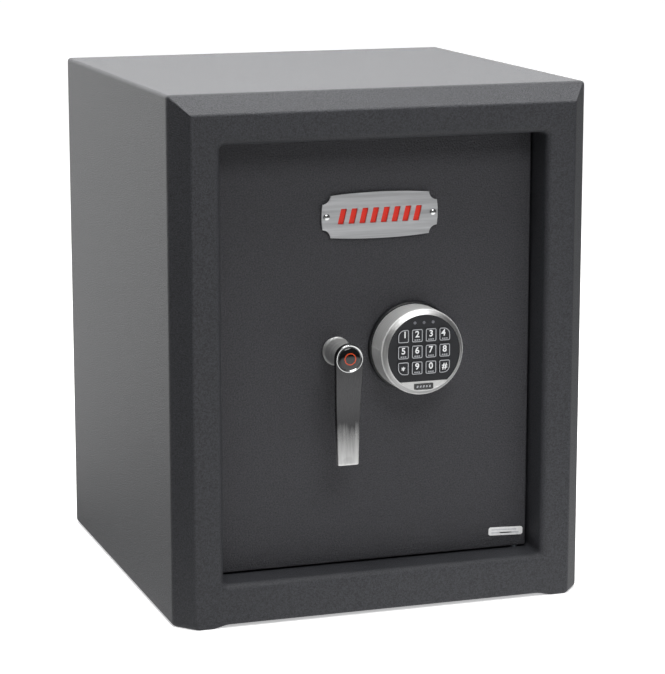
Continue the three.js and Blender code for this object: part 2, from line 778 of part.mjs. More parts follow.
const sideBolt = (z) => {
  const chamfer = 1.5;
  const bolt = turned(
    [[0, carriageX - fitGap], [boltRadius, carriageX - fitGap], [boltRadius, boltTip + chamfer],
     [boltRadius - chamfer, boltTip], [0, boltTip]],
    24,
  );
  return bolt.rotateZ(Math.PI / 2).translate(0, boltY, z);
};

const topBoltX = leverX - pitchRadius - rackRoot - barWidth / 2;
const bottomBoltX = leverX + pitchRadius + rackRoot + barWidth / 2;
const boltLength = 46;

// An upright bar with a rack beside the pinion and a round bolt at its far end.
function uprightBar(side, tipZ) {
  const up = side < 0; // the left bar throws the top bolt, the right bar the bottom one
  const direction = up ? 1 : -1;
  const x = up ? topBoltX : bottomBoltX;
  const boltRoot = tipZ - direction * boltLength;
  const far = direction * (boltRoot + direction * 8 - lockHeight);
  const rack = rackPoints(-boltTravel - rackLead, far, rackBack, up ? pinionPhase.left : pinionPhase.right);
  const points = rack.map(([a, b]) => {
    const tooth = b > -rackRoot && a > rackLead ? -rackRoot : b;
    return [leverX + side * (pitchRadius - tooth), lockHeight + direction * a];
  });
  const bar = prismY(outline(dropRepeats(points)), frontBarY, frontBarY + barThickness);
  const low = Math.min(tipZ, boltRoot);
  const high = Math.max(tipZ, boltRoot);
  return { x, bar, bolt: rod("z", [x, boltY], low, high, boltRadius) };
}

// Leaves out points that lie on a straight run.
function dropRepeats(points) {
  return points.filter(([a, b], i) => {
    const [pa, pb] = points[(i + points.length - 1) % points.length];
    const [na, nb] = points[(i + 1) % points.length];
    return Math.abs((a - pa) * (nb - b) - (b - pb) * (na - a)) > 1e-6;
  });
}

function topBoltBar() {
  const { bar, bolt } = uprightBar(-1, doorTop - boltTipSetBack);
  return join(bar, bolt);
}

const bottomTipZ = linerFloor + boltTravel + 3;

function bottomBoltBar() {
  const { x, bar, bolt } = uprightBar(1, bottomTipZ);
  const face = x + barWidth / 2;
  const low = lockBoltZ + lockBoltHeight / 2 + 1.5;
  const lug = block(face - 1, face + lugReach, frontBarY, frontBarY + barThickness, low, low + 12);
  return join(bar, bolt, lug);
}

const lockBoltTip = bottomBoltX + barWidth / 2 + lugReach + 1;

function lockBolt() {
  const half = lockBoltHeight / 2;
  return block(
    lockBoltTip,
    lockBoltTip + lockBoltLength - 6,
    frontBarY,
    frontBarY + barThickness,
    lockBoltZ - half,
    lockBoltZ + half,
  );
}

function boltGuide() {
  const reach = boltSpacing + boltRadius + 8;
  const front = doorBack + 2 * fitGap;
  const back = boltY + boltRadius + 5;
  const bar = block(guideX, guideX + 4, front, back, lockHeight - reach, lockHeight + reach);
  const holes = boltHeights.map((z) => rod("x", [boltY, z], guideX - 1, guideX + 5, boltRadius + runGap));
  return cut(bar, ...holes);
}

// ---- Keypad -------------------------------------------------------------------------------

const housingFoot = baseThickness + fitGap;
const faceSeat = housingFace - 4.4;

// The black base screwed to the door, with a pocket for the lead.
function keypadBase() {
  const back = fitGap;
  const profile = [[0, back], [baseRadius, back], [baseRadius, baseThickness - 1.4]];
  profile.push([baseRadius - 1.4, baseThickness], [0, baseThickness]);
  const at = [cableX - keypadX, cableZ - lockHeight];
  const lead = rod("y", at, -baseThickness + 1.2, 0, cableRadius + 0.6, 16);
  return cut(turned(profile, 48), lead);
}

const batteryShape = roundedRect(-24.2, 24.2, -13.2, 13.2, 2);
const battery = () => prismY(batteryShape, -housingFoot - 17.5, -housingFoot, 3);

// The metal housing: a cup with a rounded shoulder, a ledge for the face and a flat lower segment.
function keypadHousing() {
  const shoulder = arcPoints(housingRadius - 4.2, housingFace - 6.2, 1, 0, Math.PI / 2, 5).map(([r, y]) => [
    housingRadius - 4.2 + (r - housingRadius + 4.2) * 4.2,
    housingFace - 6.2 + (y - housingFace + 6.2) * 6.2,
  ]);
  const inner = housingRadius - housingWall;
  const pocket = faceRadius + fitGap;
  const profile = [[inner, housingFoot], [housingRadius, housingFoot], ...shoulder.slice(0, -1)];
  profile.push([pocket + 0.2, housingFace], [pocket, housingFace - 0.3]);
  profile.push([pocket, faceSeat], [faceRadius - 2.5, faceSeat]);
  profile.push([faceRadius - 2.5, faceSeat - 1.6], [inner, faceSeat - 1.6]);
  const cup = turned(profile, 56);
  const segment = new THREE.Shape();
  const angle = Math.asin((faceChord + fitGap) / (pocket + 1));
  segment.absarc(0, 0, pocket + 1, -Math.PI + angle, -angle);
  return join(cup, prismY(segment, -housingFace + 0.4, -faceSeat + 1.6, 16));
}

const keys = [];
for (let row = 0; row < keyRows; row++) {
  for (let column = 0; column < keyColumns; column++) {
    const x = (column - (keyColumns - 1) / 2) * keyPitchX;
    const z = ((keyRows - 1) / 2 - row) * keyPitchZ + keyRowOffset;
    keys.push({ x, z, row, column, number: keys.length + 1 });
  }
}

// Keys at the corners of the pad are rounded more on their outer corner.
function keyShape(key, grow) {
  const w = keyWidth / 2 + grow;
  const h = keyHeight / 2 + grow;
  const left = key.column === 0;
  const right = key.column === keyColumns - 1;
  const radius = (outer) => (outer ? 4.6 : 1.8) + grow;
  const top = key.row === 0;
  const low = key.row === keyRows - 1;
  const radii = [low && left, low && right, top && right, top && left].map(radius);
  return roundedRect(key.x - w, key.x + w, key.z - h, key.z + h, radii);
}

const ledPitch = 8.8;
const ledZ = 28;
const ledRadius = 1.1;
const ledPlaces = [-1, 0, 1].map((k) => k * ledPitch);
const faceFront = housingFace - 0.8;

function keypadFace() {
  const angle = Math.asin(faceChord / faceRadius);
  const shape = new THREE.Shape();
  shape.absarc(0, 0, faceRadius, -angle, Math.PI + angle);
  keys.forEach((key) => shape.holes.push(keyShape(key, keyGap)));
  ledPlaces.forEach((x) => shape.holes.push(circleHole(x, ledZ, ledRadius + fitGap)));
  return prismY(shape, -faceFront, -faceSeat - fitGap, 3);
}

const keyCap = (key) => prismY(keyShape(key, 0), -faceFront - keyRise, -faceSeat + 0.4, 3);

// The circuit board behind the keys; its three lamp lenses reach the face.
function circuitBoard() {
  const front = faceSeat - 0.4 - keyTravel - 1;
  const board = rod("y", [0, 0], -front, -front + 1.6, faceRadius - 4, 32);
  const lenses = ledPlaces.map((x) => rod("y", [x, ledZ], -faceFront - 0.2, -front + 0.8, ledRadius, 10));
  return join(board, ...lenses);
}

// ---- Assembly -----------------------------------------------------------------------------

const cabinet = new THREE.Group();
cabinet.add(
  meshOf("body_shell", bodyShell(), bodyPaint),
  meshOf("back_panel", backPanel(), bodyPaint),
  meshOf("frame_top_rail", frameTopRail(), bodyPaint),
  meshOf("frame_sill", frameSill(), bodyPaint),
  meshOf("frame_stile_left", frameStile(-1), bodyPaint),
  meshOf("frame_stile_right", frameStile(1), bodyPaint),
  meshOf("wall_infill", wallFill(), infill),
  meshOf("liner_wrap", linerWrap(), linerPaint),
  meshOf("liner_back", linerBackPlate(), linerPaint),
  meshOf("pivot_pin_top", pivotPin(doorTop - pivotSeat, openingTop + pivotSeat), zincSteel),
  meshOf("pivot_pin_bottom", pivotPin(sillTop - pivotSeat, doorBottom + pivotSeat), zincSteel),
  meshOf("shelf", shelf(), linerPaint),
  meshOf("shelf_support_left", shelfSupport(-1), zincSteel),
  meshOf("shelf_support_right", shelfSupport(1), zincSteel),
  meshOf("floor_mat", floorMat(), matFelt),
  meshOf("anchor_plug", anchorPlug(), blackPlastic),
);

const door = new THREE.Group();
door.add(
  meshOf("door_plate", doorPlate(), doorPaint),
  meshOf("door_pan", doorPan(), linerPaint),
  meshOf("dog_bolt_lower", dogBolt(dogHeights[0]), zincSteel),
  meshOf("dog_bolt_upper", dogBolt(dogHeights[1]), zincSteel),
  meshOf("bolt_guide", boltGuide(), zincSteel),
  meshOf("name_plate", namePlate(), brushedSteel),
  meshOf("name_plate_backing", namePlateBacking(), redEnamel),
  meshOf("rating_label", ratingLabel(), whiteLabel),
  meshOf("hard_plate", hardPlate(), zincSteel),
  meshOf("lock_case", lockCase(), zincSteel),
  meshOf("lock_bolt", lockBolt(), satinSteel),
  meshOf("keypad_cable", keypadCable(), blackPlastic),
  meshOf("side_bolt_carriage", sideCarriage(), zincSteel),
  meshOf("top_bolt_bar", topBoltBar(), zincSteel),
  meshOf("bottom_bolt_bar", bottomBoltBar(), zincSteel),
);
["lower", "middle", "upper"].forEach((place, i) => {
  door.add(meshOf("side_bolt_" + place, sideBolt(boltHeights[i]), satinSteel));
});
["left", "right"].forEach((side, i) => {
  const screw = meshOf("name_plate_screw_" + side, plateScrew(), satinSteel);
  screw.position.set(plateScrews[i], doorRecess, plateZ);
  door.add(screw);
});

const handle = new THREE.Group();
handle.position.set(leverX, doorRecess, lockHeight);
handle.add(
  meshOf("spindle_bush", spindleBush(), zincSteel),
  meshOf("handle_lever", handleLever(), satinSteel),
  meshOf("handle_cap", handleCap(), blackPlastic),
  meshOf("handle_spindle", handleSpindle(), zincSteel),
  meshOf("pinion", pinion(), zincSteel),
  meshOf("spindle_clip", spindleClip(), zincSteel),
);
door.add(handle);

const keypad = new THREE.Group();
keypad.position.set(keypadX, doorRecess, lockHeight);
keypad.add(
  meshOf("keypad_base", keypadBase(), blackPlastic),
  meshOf("battery", battery(), batteryCase),
  meshOf("keypad_housing", keypadHousing(), satinSteel),
  meshOf("keypad_face", keypadFace(), keypadRubber),
  meshOf("circuit_board", circuitBoard(), boardGreen),
);
keys.forEach((key) => {
  keypad.add(meshOf("key_" + String(key.number).padStart(2, "0"), keyCap(key), keypadRubber));
});
door.add(keypad);

const safe = new THREE.Group();
safe.name = "safe";
safe.position.y = -(bodyDepth - leverProud) / 2; // the whole object is centred, lever included
safe.add(cabinet, door);

export default safe;
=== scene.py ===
import math

import bmesh
import bpy
from mathutils import Matrix, Vector


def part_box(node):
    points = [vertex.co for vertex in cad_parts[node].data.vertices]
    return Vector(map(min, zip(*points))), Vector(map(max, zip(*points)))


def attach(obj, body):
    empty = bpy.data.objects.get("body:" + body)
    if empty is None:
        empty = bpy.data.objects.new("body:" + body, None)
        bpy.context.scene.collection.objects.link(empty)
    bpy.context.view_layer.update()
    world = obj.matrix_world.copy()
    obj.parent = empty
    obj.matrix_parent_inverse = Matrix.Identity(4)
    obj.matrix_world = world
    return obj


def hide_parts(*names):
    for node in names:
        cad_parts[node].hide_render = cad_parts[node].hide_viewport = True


bl_info = {
    "name": "Steel Safe with Code Lock",
    "version": (1, 0, 0),
    "blender": (4, 5, 0),
    "location": "View3D > Sidebar > Safe",
    "description": "Builds the looks of a powder coated safe around its packed frame",
    "category": "Object",
}

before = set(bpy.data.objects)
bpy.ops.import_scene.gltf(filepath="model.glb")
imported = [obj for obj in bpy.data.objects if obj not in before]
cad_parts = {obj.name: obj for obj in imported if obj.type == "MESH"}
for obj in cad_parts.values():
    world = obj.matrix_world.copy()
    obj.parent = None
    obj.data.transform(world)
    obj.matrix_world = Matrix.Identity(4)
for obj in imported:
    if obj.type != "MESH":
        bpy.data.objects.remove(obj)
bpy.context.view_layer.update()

MM = 0.001
TURN = 2 * math.pi
ROUND_STEPS = 96  # sides of a visible round part
PRINT_LIFT = 0.03 * MM  # from a surface to the print on it


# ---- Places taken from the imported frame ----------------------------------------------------


def middle(node):
    """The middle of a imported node's box."""
    low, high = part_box(node)
    return (Vector(low) + Vector(high)) / 2


def size_of(node):
    """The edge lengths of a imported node's box."""
    low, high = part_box(node)
    return Vector(high) - Vector(low)


BODY_LOW, BODY_HIGH = (Vector(corner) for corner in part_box("body_shell"))
RAIL_LOW, RAIL_HIGH = (Vector(corner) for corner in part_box("frame_top_rail"))
SILL_HIGH = Vector(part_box("frame_sill")[1])
DOOR_LOW, DOOR_HIGH = (Vector(corner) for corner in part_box("door_plate"))
FRAME_FACE = RAIL_LOW.y
DOOR_FACE = DOOR_LOW.y
LEVER_AXIS = Vector((middle("handle_cap").x, DOOR_FACE, middle("handle_cap").z))
KEYPAD_AXIS = Vector((middle("keypad_base").x, DOOR_FACE, middle("keypad_base").z))


# ---- Sizes and colours a user would change --------------------------------------------------


def length(name, description, default_mm):
    """A length property whose default is given in millimetres."""
    return bpy.props.FloatProperty(
        name=name, description=description, default=default_mm * MM, unit="LENGTH", precision=5
    )


def colour(name, description, code):
    """A colour property whose default is an sRGB hex code."""
    limits = {"min": 0.0, "max": 1.0}
    return bpy.props.FloatVectorProperty(
        name=name, description=description, default=to_linear(code), subtype="COLOR", size=3, **limits
    )


def to_linear(code):
    """An sRGB hex code as linear red, green and blue."""
    values = [int(code[i : i + 2], 16) / 255 for i in (1, 3, 5)]
    return [v / 12.92 if v <= 0.04045 else ((v + 0.055) / 1.055) ** 2.4 for v in values]


class SafeSizes(bpy.types.PropertyGroup):
    """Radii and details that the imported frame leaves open."""

    bevel_width: length("Bevel width", "Width of the frame's bevel seen from the front", 16.7)
    bevel_depth: length("Bevel depth", "Depth of the frame's bevel behind its face", 19.4)
    fold_radius: length("Fold radius", "Radius of the folds beside the bevel", 4.2)
    opening_bend: length("Opening bend", "Radius of the bend into the door opening", 7.0)
    opening_corner: length("Opening corner", "Radius of the door opening's corners", 4.0)
    casing_corner: length("Casing corner", "Radius of the casing's long top edges", 3.5)
    foot_corner: length("Foot corner", "Radius of the casing's long lower edges", 4.0)
    foot_width: length("Foot width", "Width of the runner under each side", 32.0)
    foot_rise: length("Foot rise", "Width over which a runner rises to the bottom sheet", 17.0)
    foot_height: length("Foot height", "Height of the runners below the bottom sheet", 3.0)
    door_edge: length("Door edge", "Radius along the door plate's edges", 1.2)
    plate_thickness: length("Name plate thickness", "Thickness of the name plate", 1.2)
    print_width: length("Print width", "Width of the line printed round each key", 0.75)


class SafeColours(bpy.types.PropertyGroup):
    """Colours of the finishes, as the paint or the material itself."""

    body_coat: colour("Body coat", "Powder coat of the casing and the frame", "#303135")
    door_coat: colour("Door coat", "Powder coat of the door", "#38383c")
    liner_coat: colour("Liner coat", "Powder coat of the liner, shelf and door pan", "#7b7e82")
    plate_red: colour("Plate red", "Enamel behind the name plate's slots", "#f0301c")
    cap_mark: colour("Cap mark", "Ring printed on the lever's cap", "#d2481c")
    key_print: colour("Key print", "Outlines round the keys", "#b4b6ba")
    digit_print: colour("Digit print", "Digits on the keys", "#f4f5f6")


# ---- Node and material helpers --------------------------------------------------------------


def add(tree, kind, inputs=None, **settings):
    """Adds a node with its settings; inputs holds values, or outputs of other nodes to link."""
    made = tree.nodes.new(kind)
    for name, value in settings.items():
        setattr(made, name, value)
    for socket, value in (inputs or {}).items():
        if isinstance(value, bpy.types.NodeSocket):
            tree.links.new(value, made.inputs[socket])
        else:
            made.inputs[socket].default_value = value
    return made


def new_material(name):
    """An empty node material with its output, its Principled shader and object coordinates."""
    material = bpy.data.materials.new(name)
    material.use_nodes = True
    tree = material.node_tree
    tree.nodes.clear()
    shader = add(tree, "ShaderNodeBsdfPrincipled")
    add(tree, "ShaderNodeOutputMaterial", {"Surface": shader.outputs["BSDF"]})
    place = add(tree, "ShaderNodeTexCoord").outputs["Object"]
    return material, tree, shader, place


def rgba(rgb, gain=1.0):
    """A linear colour with alpha, lightened or darkened."""
    return [min(1.0, c * gain) for c in rgb] + [1.0]


def set_inputs(shader, **values):
    """Sets constants straight on the shader's own sockets."""
    for name, value in values.items():
        shader.inputs[name.replace("_", " ")].default_value = value


def tone_mix(tree, shader, factor, dark, light):
    """Links the base colour to a mix of two tones."""
    mix = add(tree, "ShaderNodeMix", {"Factor": factor, "A": dark, "B": light}, data_type="RGBA")
    tree.links.new(mix.outputs[2], shader.inputs["Base Color"])


def mottled(tree, shader, pattern, rgb, dark, light, low=0.3, high=0.7):
    """Colours a finish between a darker and a lighter tone, by a pattern."""
    tone_mix(tree, shader, ramp(tree, pattern, low, high), rgba(rgb, dark), rgba(rgb, light))


def roughened(tree, shader, pattern, smooth, rough):
    """Lets the roughness follow a pattern."""
    tree.links.new(ramp(tree, pattern, 0.3, 0.7, smooth, rough), shader.inputs["Roughness"])


def bumped(tree, shader, layers):
    """Chains bump nodes: each layer is (height output, depth in metres, strength)."""
    normal = None
    for height, depth, strength in layers:
        inputs = {"Height": height, "Distance": depth, "Strength": strength}
        if normal:
            inputs["Normal"] = normal
        normal = add(tree, "ShaderNodeBump", inputs).outputs["Normal"]
    tree.links.new(normal, shader.inputs["Normal"])


def maths(tree, operation, *values):
    """The result of a maths node."""
    return add(tree, "ShaderNodeMath", dict(enumerate(values)), operation=operation).outputs[0]


def vector_maths(tree, operation, *values):
    """The vector, or the length, that a vector maths node gives."""
    made = add(tree, "ShaderNodeVectorMath", dict(enumerate(values)), operation=operation)
    return made.outputs["Value" if operation == "LENGTH" else "Vector"]


def parted(tree, place):
    """The separate X, Y and Z of a vector."""
    return add(tree, "ShaderNodeSeparateXYZ", {"Vector": place}).outputs


def noise(tree, place, size_mm, detail=4.0, rough=0.5, stretch=None):
    """A noise pattern whose blotches are about size_mm across."""
    if stretch:
        place = add(tree, "ShaderNodeMapping", {"Vector": place, "Scale": stretch}).outputs["Vector"]
    inputs = {"Vector": place, "Scale": 1 / (size_mm * MM), "Detail": detail, "Roughness": rough}
    return add(tree, "ShaderNodeTexNoise", inputs).outputs["Fac"]


def cells(tree, place, size_mm, feature="F1"):
    """A cell pattern whose cells are about size_mm across."""
    inputs = {"Vector": place, "Scale": 1 / (size_mm * MM)}
    return add(tree, "ShaderNodeTexVoronoi", inputs, feature=feature).outputs["Distance"]


def ramp(tree, factor, low, high, to_low=0.0, to_high=1.0):
    """Maps a stretch of a pattern onto a new range, clamped at its ends."""
    inputs = {"Value": factor, "From Min": low, "From Max": high, "To Min": to_low, "To Max": to_high}
    return add(tree, "ShaderNodeMapRange", inputs).outputs["Result"]


def textured_powder_coat(name, rgb, grain_mm, cell_mm, crackle):
    """Textured polyester powder coat, sprayed and baked: a matt pebbled skin with fine pits that
    scatters light softly and turns pale at a glancing angle. The grain of a real coat is about
    0.5 mm and is drawn a little coarser so that it shows."""
    material, tree, shader, place = new_material(name)
    blotch = noise(tree, place, grain_mm * 1.8, 5.0, 0.62)
    grain = noise(tree, place, grain_mm, 6.0, 0.7)
    pebbles = cells(tree, place, cell_mm, "SMOOTH_F1")
    cracks = cells(tree, place, cell_mm * 1.7, "DISTANCE_TO_EDGE")
    tone = maths(tree, "MULTIPLY", blotch, grain)
    mottled(tree, shader, tone, rgb, 0.5, 1.62, 0.17, 0.33)
    roughened(tree, shader, grain, 0.5, 0.66)
    crust = (ramp(tree, cracks, 0.0, 0.16), 0.45 * MM, crackle)
    bumped(tree, shader, [crust, (pebbles, 0.45 * MM, 0.5), (grain, 0.4 * MM, 0.7)])
    set_inputs(shader, IOR=1.5)
    return material


def smooth_powder_coat(name, rgb):
    """Smooth powder coat over folded sheet: satin with a faint orange-peel ripple."""
    material, tree, shader, place = new_material(name)
    peel = noise(tree, place, 3.5, 2.0, 0.4)
    wear = noise(tree, place, 60.0, 4.0, 0.6)
    mottled(tree, shader, wear, rgb, 0.93, 1.05)
    bumped(tree, shader, [(peel, 0.06 * MM, 0.3)])
    set_inputs(shader, Roughness=0.42, IOR=1.5)
    return material


def brushed_metal(name, code, rough, stretch, depth_mm, strength):
    """Rolled or cast metal finished with an abrasive belt: fine parallel scratches, drawn 0.3 mm
    apart so that they show, that spread highlights across the brushing."""
    material, tree, shader, place = new_material(name)
    rgb = to_linear(code)
    lines = noise(tree, place, 0.3, 3.0, 0.6, stretch)
    bands = noise(tree, place, 4.0, 3.0, 0.6, stretch)
    mottled(tree, shader, bands, rgb, 0.74, 1.12)
    roughened(tree, shader, lines, rough - 0.06, rough + 0.1)
    bumped(tree, shader, [(lines, depth_mm * MM, strength)])
    set_inputs(shader, Metallic=1.0)
    return material


def lever_painted_reflection(name, axis_height):
    """Satin black nickel on a casting, brushed along its length, with a painted reflection in its
    colour: painted dark below the head and painted bright towards the tip."""
    material, tree, shader, place = new_material(name)
    lines = noise(tree, place, 0.3, 3.0, 0.6, (1.0, 1.0, 0.04))
    bands = noise(tree, place, 2.6, 3.0, 0.6, (1.0, 1.0, 0.05))
    height = parted(tree, place)["Z"]
    # Painted reflection: the colour runs from dark grey below the head to near white at the tip, with a
    # ragged edge.
    ragged = maths(tree, "MULTIPLY_ADD", bands, 22 * MM, height)
    painted_reflection = ramp(tree, ragged, axis_height - 50 * MM, axis_height - 90 * MM)
    tone_mix(tree, shader, painted_reflection, rgba(to_linear("#4e4e4f")), rgba(to_linear("#f6f6f5")))
    rubbed = ramp(tree, height, axis_height - 70 * MM, axis_height - 100 * MM, 0.26, 0.5)
    spread = ramp(tree, lines, 0.3, 0.7, -0.05, 0.07)
    tree.links.new(maths(tree, "ADD", rubbed, spread), shader.inputs["Roughness"])
    bumped(tree, shader, [(lines, 0.03 * MM, 0.25)])
    set_inputs(shader, Metallic=1.0)
    return material


def turned_metal(name, code, rough, axis):
    """Die casting finished on a lathe with an abrasive: fine rings about its axis, drawn 0.35 mm
    apart so that they show, that drag highlights out across the rings."""
    material, tree, shader, place = new_material(name)
    rgb = to_linear(code)
    from_axis = vector_maths(tree, "SUBTRACT", place, axis)
    radius = vector_maths(tree, "LENGTH", vector_maths(tree, "MULTIPLY", from_axis, (1, 0, 1)))
    depth = parted(tree, from_axis)["Y"]
    rings = add(tree, "ShaderNodeCombineXYZ", {"X": radius, "Y": depth}).outputs["Vector"]
    lines = noise(tree, rings, 0.35, 3.0, 0.6)
    bands = noise(tree, rings, 2.5, 2.0, 0.5)
    mottled(tree, shader, bands, rgb, 0.9, 1.06)
    roughened(tree, shader, lines, rough - 0.05, rough + 0.1)
    bumped(tree, shader, [(lines, 0.25 * MM, 0.8)])
    set_inputs(shader, Metallic=1.0)
    return material


def plated_metal(name, code, rough):
    """Plated or turned steel: even, with faint clouding from handling."""
    material, tree, shader, place = new_material(name)
    rgb = to_linear(code)
    cloud = noise(tree, place, 9.0, 5.0, 0.65)
    fine = noise(tree, place, 0.5, 3.0, 0.6)
    mottled(tree, shader, cloud, rgb, 0.9, 1.06)
    roughened(tree, shader, cloud, rough - 0.04, rough + 0.08)
    bumped(tree, shader, [(fine, 0.02 * MM, 0.15)])
    set_inputs(shader, Metallic=1.0)
    return material


def moulded_plastic(name, code, rough, grain_mm=0.6, coat=0.0):
    """Injection moulded ABS: a dark body colour under a fine spark-eroded grain."""
    material, tree, shader, place = new_material(name)
    rgb = to_linear(code)
    grain = noise(tree, place, grain_mm, 3.0, 0.6)
    dust = noise(tree, place, 14.0, 5.0, 0.6)
    mottled(tree, shader, dust, rgb, 0.85, 1.35, 0.35, 0.75)
    bumped(tree, shader, [(grain, 0.03 * MM, 0.2)])
    set_inputs(shader, Roughness=rough, IOR=1.46, Coat_Weight=coat, Coat_Roughness=0.06)
    return material


def enamel(name, rgb, rough=0.28):
    """Glossy enamel or printing ink: full colour with a slight film ripple."""
    material, tree, shader, place = new_material(name)
    film = noise(tree, place, 2.0, 2.0, 0.5)
    mottled(tree, shader, film, rgb, 0.94, 1.04)
    bumped(tree, shader, [(film, 0.02 * MM, 0.2)])
    set_inputs(shader, Roughness=rough, IOR=1.5)
    return material


def cast_infill(name):
    """Light cement cast between the sheets: grey, open-pored and dusty."""
    material, tree, shader, place = new_material(name)
    rgb = to_linear("#8f8c86")
    grit = noise(tree, place, 1.5, 6.0, 0.7)
    pores = cells(tree, place, 3.0)
    tone_mix(tree, shader, grit, rgba(rgb, 0.75), rgba(rgb, 1.15))
    bumped(tree, shader, [(pores, 0.5 * MM, 0.5), (grit, 0.3 * MM, 0.5)])
    set_inputs(shader, Roughness=0.95, IOR=1.5)
    return material


def needle_felt(name):
    """Needle felt: short tangled fibres, matt with a soft sheen."""
    material, tree, shader, place = new_material(name)
    rgb = to_linear("#34353a")
    fibres = noise(tree, place, 0.8, 6.0, 0.75, (1.0, 0.25, 1.0))
    tone_mix(tree, shader, fibres, rgba(rgb, 0.6), rgba(rgb, 1.6))
    bumped(tree, shader, [(fibres, 0.6 * MM, 0.7)])
    set_inputs(shader, Roughness=0.95, Sheen_Weight=0.3, Sheen_Roughness=0.5, IOR=1.5)
    return material


def circuit_laminate(name):
    """Glass-fibre laminate under green solder mask, with a faint weave of 1 mm."""
    material, tree, shader, place = new_material(name)
    rgb = to_linear("#1f6a44")
    weave = add(tree, "ShaderNodeTexChecker", {"Vector": place, "Scale": 1 / MM}).outputs["Fac"]
    tone_mix(tree, shader, weave, rgba(rgb, 0.9), rgba(rgb, 1.1))
    bumped(tree, shader, [(noise(tree, place, 0.6), 0.02 * MM, 0.2)])
    set_inputs(shader, Roughness=0.35, IOR=1.5)
    return material


MATERIALS = {}


def make_materials(colours):
    """Makes every finish once."""
    across = (0.04, 1.0, 1.0)
    MATERIALS.update(
        body_coat=textured_powder_coat("textured powder coat, charcoal", colours.body_coat, 0.75, 1.1, 0.3),
        door_coat=textured_powder_coat("textured powder coat, dark", colours.door_coat, 0.7, 1.5, 0.7),
        liner_coat=smooth_powder_coat("smooth powder coat, grey", colours.liner_coat),
        name_plate=brushed_metal("brushed stainless steel", "#d2d3d5", 0.36, across, 0.08, 0.5),
        # The lever's colour carries a painted reflection, dark below the head and bright at the tip.
        lever=lever_painted_reflection("satin black nickel, painted reflection", LEVER_AXIS.z),
        housing=turned_metal("satin turned housing", "#dededd", 0.42, KEYPAD_AXIS),
        # The side's finish is rougher, as blasted, and lighter in colour than the front ring's: the lighter
        # colour is a painted highlight.
        housing_side=turned_metal("blasted housing side, painted highlight", "#f4f4f3", 0.66, KEYPAD_AXIS),
        hub=turned_metal("satin turned hub", "#e4e4e3", 0.52, LEVER_AXIS),
        zinc=plated_metal("bright zinc plated steel", "#b9c0c6", 0.34),
        polished=plated_metal("polished steel", "#dcdddd", 0.12),
        red=enamel("red enamel", colours.plate_red, 0.4),
        black_abs=moulded_plastic("moulded ABS, black", "#17181a", 0.42),
        cap=moulded_plastic("gloss ABS, black", "#0c0d0f", 0.12, 2.0, 0.6),
        cap_mark=enamel("cap ring ink", colours.cap_mark),
        rubber=moulded_plastic("silicone rubber, black", "#1e1f23", 0.55, 0.4),
        key_print=enamel("key outline ink", colours.key_print, 0.5),
        digit_print=enamel("digit ink", colours.digit_print, 0.5),
        lens=moulded_plastic("lamp lens, grey", "#6c6d73", 0.3),
        label=enamel("printed film, white", to_linear("#fbfbfc"), 0.45),
        label_ink=enamel("label ink, grey", to_linear("#d9dade"), 0.5),
        infill=cast_infill("cast fire infill"),
        felt=needle_felt("needle felt, dark"),
        board=circuit_laminate("circuit laminate"),
        battery=moulded_plastic("wrapped battery can", "#3b4652", 0.3, 0.6, 0.3),
        cable=moulded_plastic("cable sheath, black", "#141416", 0.45),
    )


# ---- Mesh helpers ---------------------------------------------------------------------------


def mark_sharp(bm, degrees):
    """Smooth faces, with sharp edges wherever the surface turns by more than the given angle."""
    limit = math.radians(degrees)
    for face in bm.faces:
        face.smooth = True
    for edge in bm.edges:
        edge.smooth = len(edge.link_faces) == 2 and edge.calc_face_angle(0.0) < limit


def placed(name, data):
    """Adds an object to the scene."""
    made = bpy.data.objects.new(name, data)
    bpy.context.scene.collection.objects.link(made)
    return made


def make_piece(name, bm, materials, body, slot, replaces=(), sharp=32, closed=True, weighted=True):
    """Turns a bmesh into a named piece with its finish, its body and what it stands for."""
    bmesh.ops.remove_doubles(bm, verts=bm.verts, dist=1e-7)
    if closed:
        bmesh.ops.recalc_face_normals(bm, faces=bm.faces)
    mark_sharp(bm, sharp)
    mesh = bpy.data.meshes.new(name)
    bm.to_mesh(mesh)
    bm.free()
    piece = placed(name, mesh)
    for material in materials:
        mesh.materials.append(MATERIALS[material])
    if weighted:
        add_weighted_normals(piece)
    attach(piece, body)
    if replaces:
        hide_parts(*replaces)
    return piece


def finished_mesh(piece):
    """A mesh of an object with its modifiers applied."""
    bpy.context.view_layer.update()
    return bpy.data.meshes.new_from_object(piece.evaluated_get(bpy.context.evaluated_depsgraph_get()))


def add_weighted_normals(piece):
    """Keeps flat faces flat next to their rounded edges."""
    modifier = piece.modifiers.new("Weighted normals", "WEIGHTED_NORMAL")
    modifier.keep_sharp = True


def loft(bm, loops, closed=True, material=0):
    """Joins loops of points with quads and returns the vertices of each loop."""
    rings = [[bm.verts.new(point) for point in loop] for loop in loops]
    count = len(rings[0])
    for near, far in zip(rings, rings[1:]):
        for i in range(count if closed else count - 1):
            j = (i + 1) % count
            face = bm.faces.new((near[i], near[j], far[j], far[i]))
            face.material_index = material
    return rings


def fill_between(bm, *rings):
    """Fills a flat region bounded by closed rings of vertices, the later ones being holes."""
    edges = []
    for ring in rings:
        for i, vert in enumerate(ring):
            other = ring[(i + 1) % len(ring)]
            edges.append(bm.edges.get((vert, other)) or bm.edges.new((vert, other)))
    return bmesh.ops.triangle_fill(bm, use_beauty=True, edges=edges)


def lathe(bm, centre, profile, steps=ROUND_STEPS, material=0, cap_start=False, cap_end=False):
    """Turns a (radius, reach) profile about an axis that leaves the door; reach counts outwards."""
    spokes = [(math.cos(TURN * i / steps), math.sin(TURN * i / steps)) for i in range(steps)]
    loops = []
    for radius, reach in profile:
        loops.append([centre + Vector((radius * x, -reach, radius * z)) for x, z in spokes])
    rings = loft(bm, loops, material=material)
    for wanted, ring in ((cap_start, rings[0]), (cap_end, rings[-1])):
        if wanted:
            bm.faces.new(ring).material_index = material
    return rings


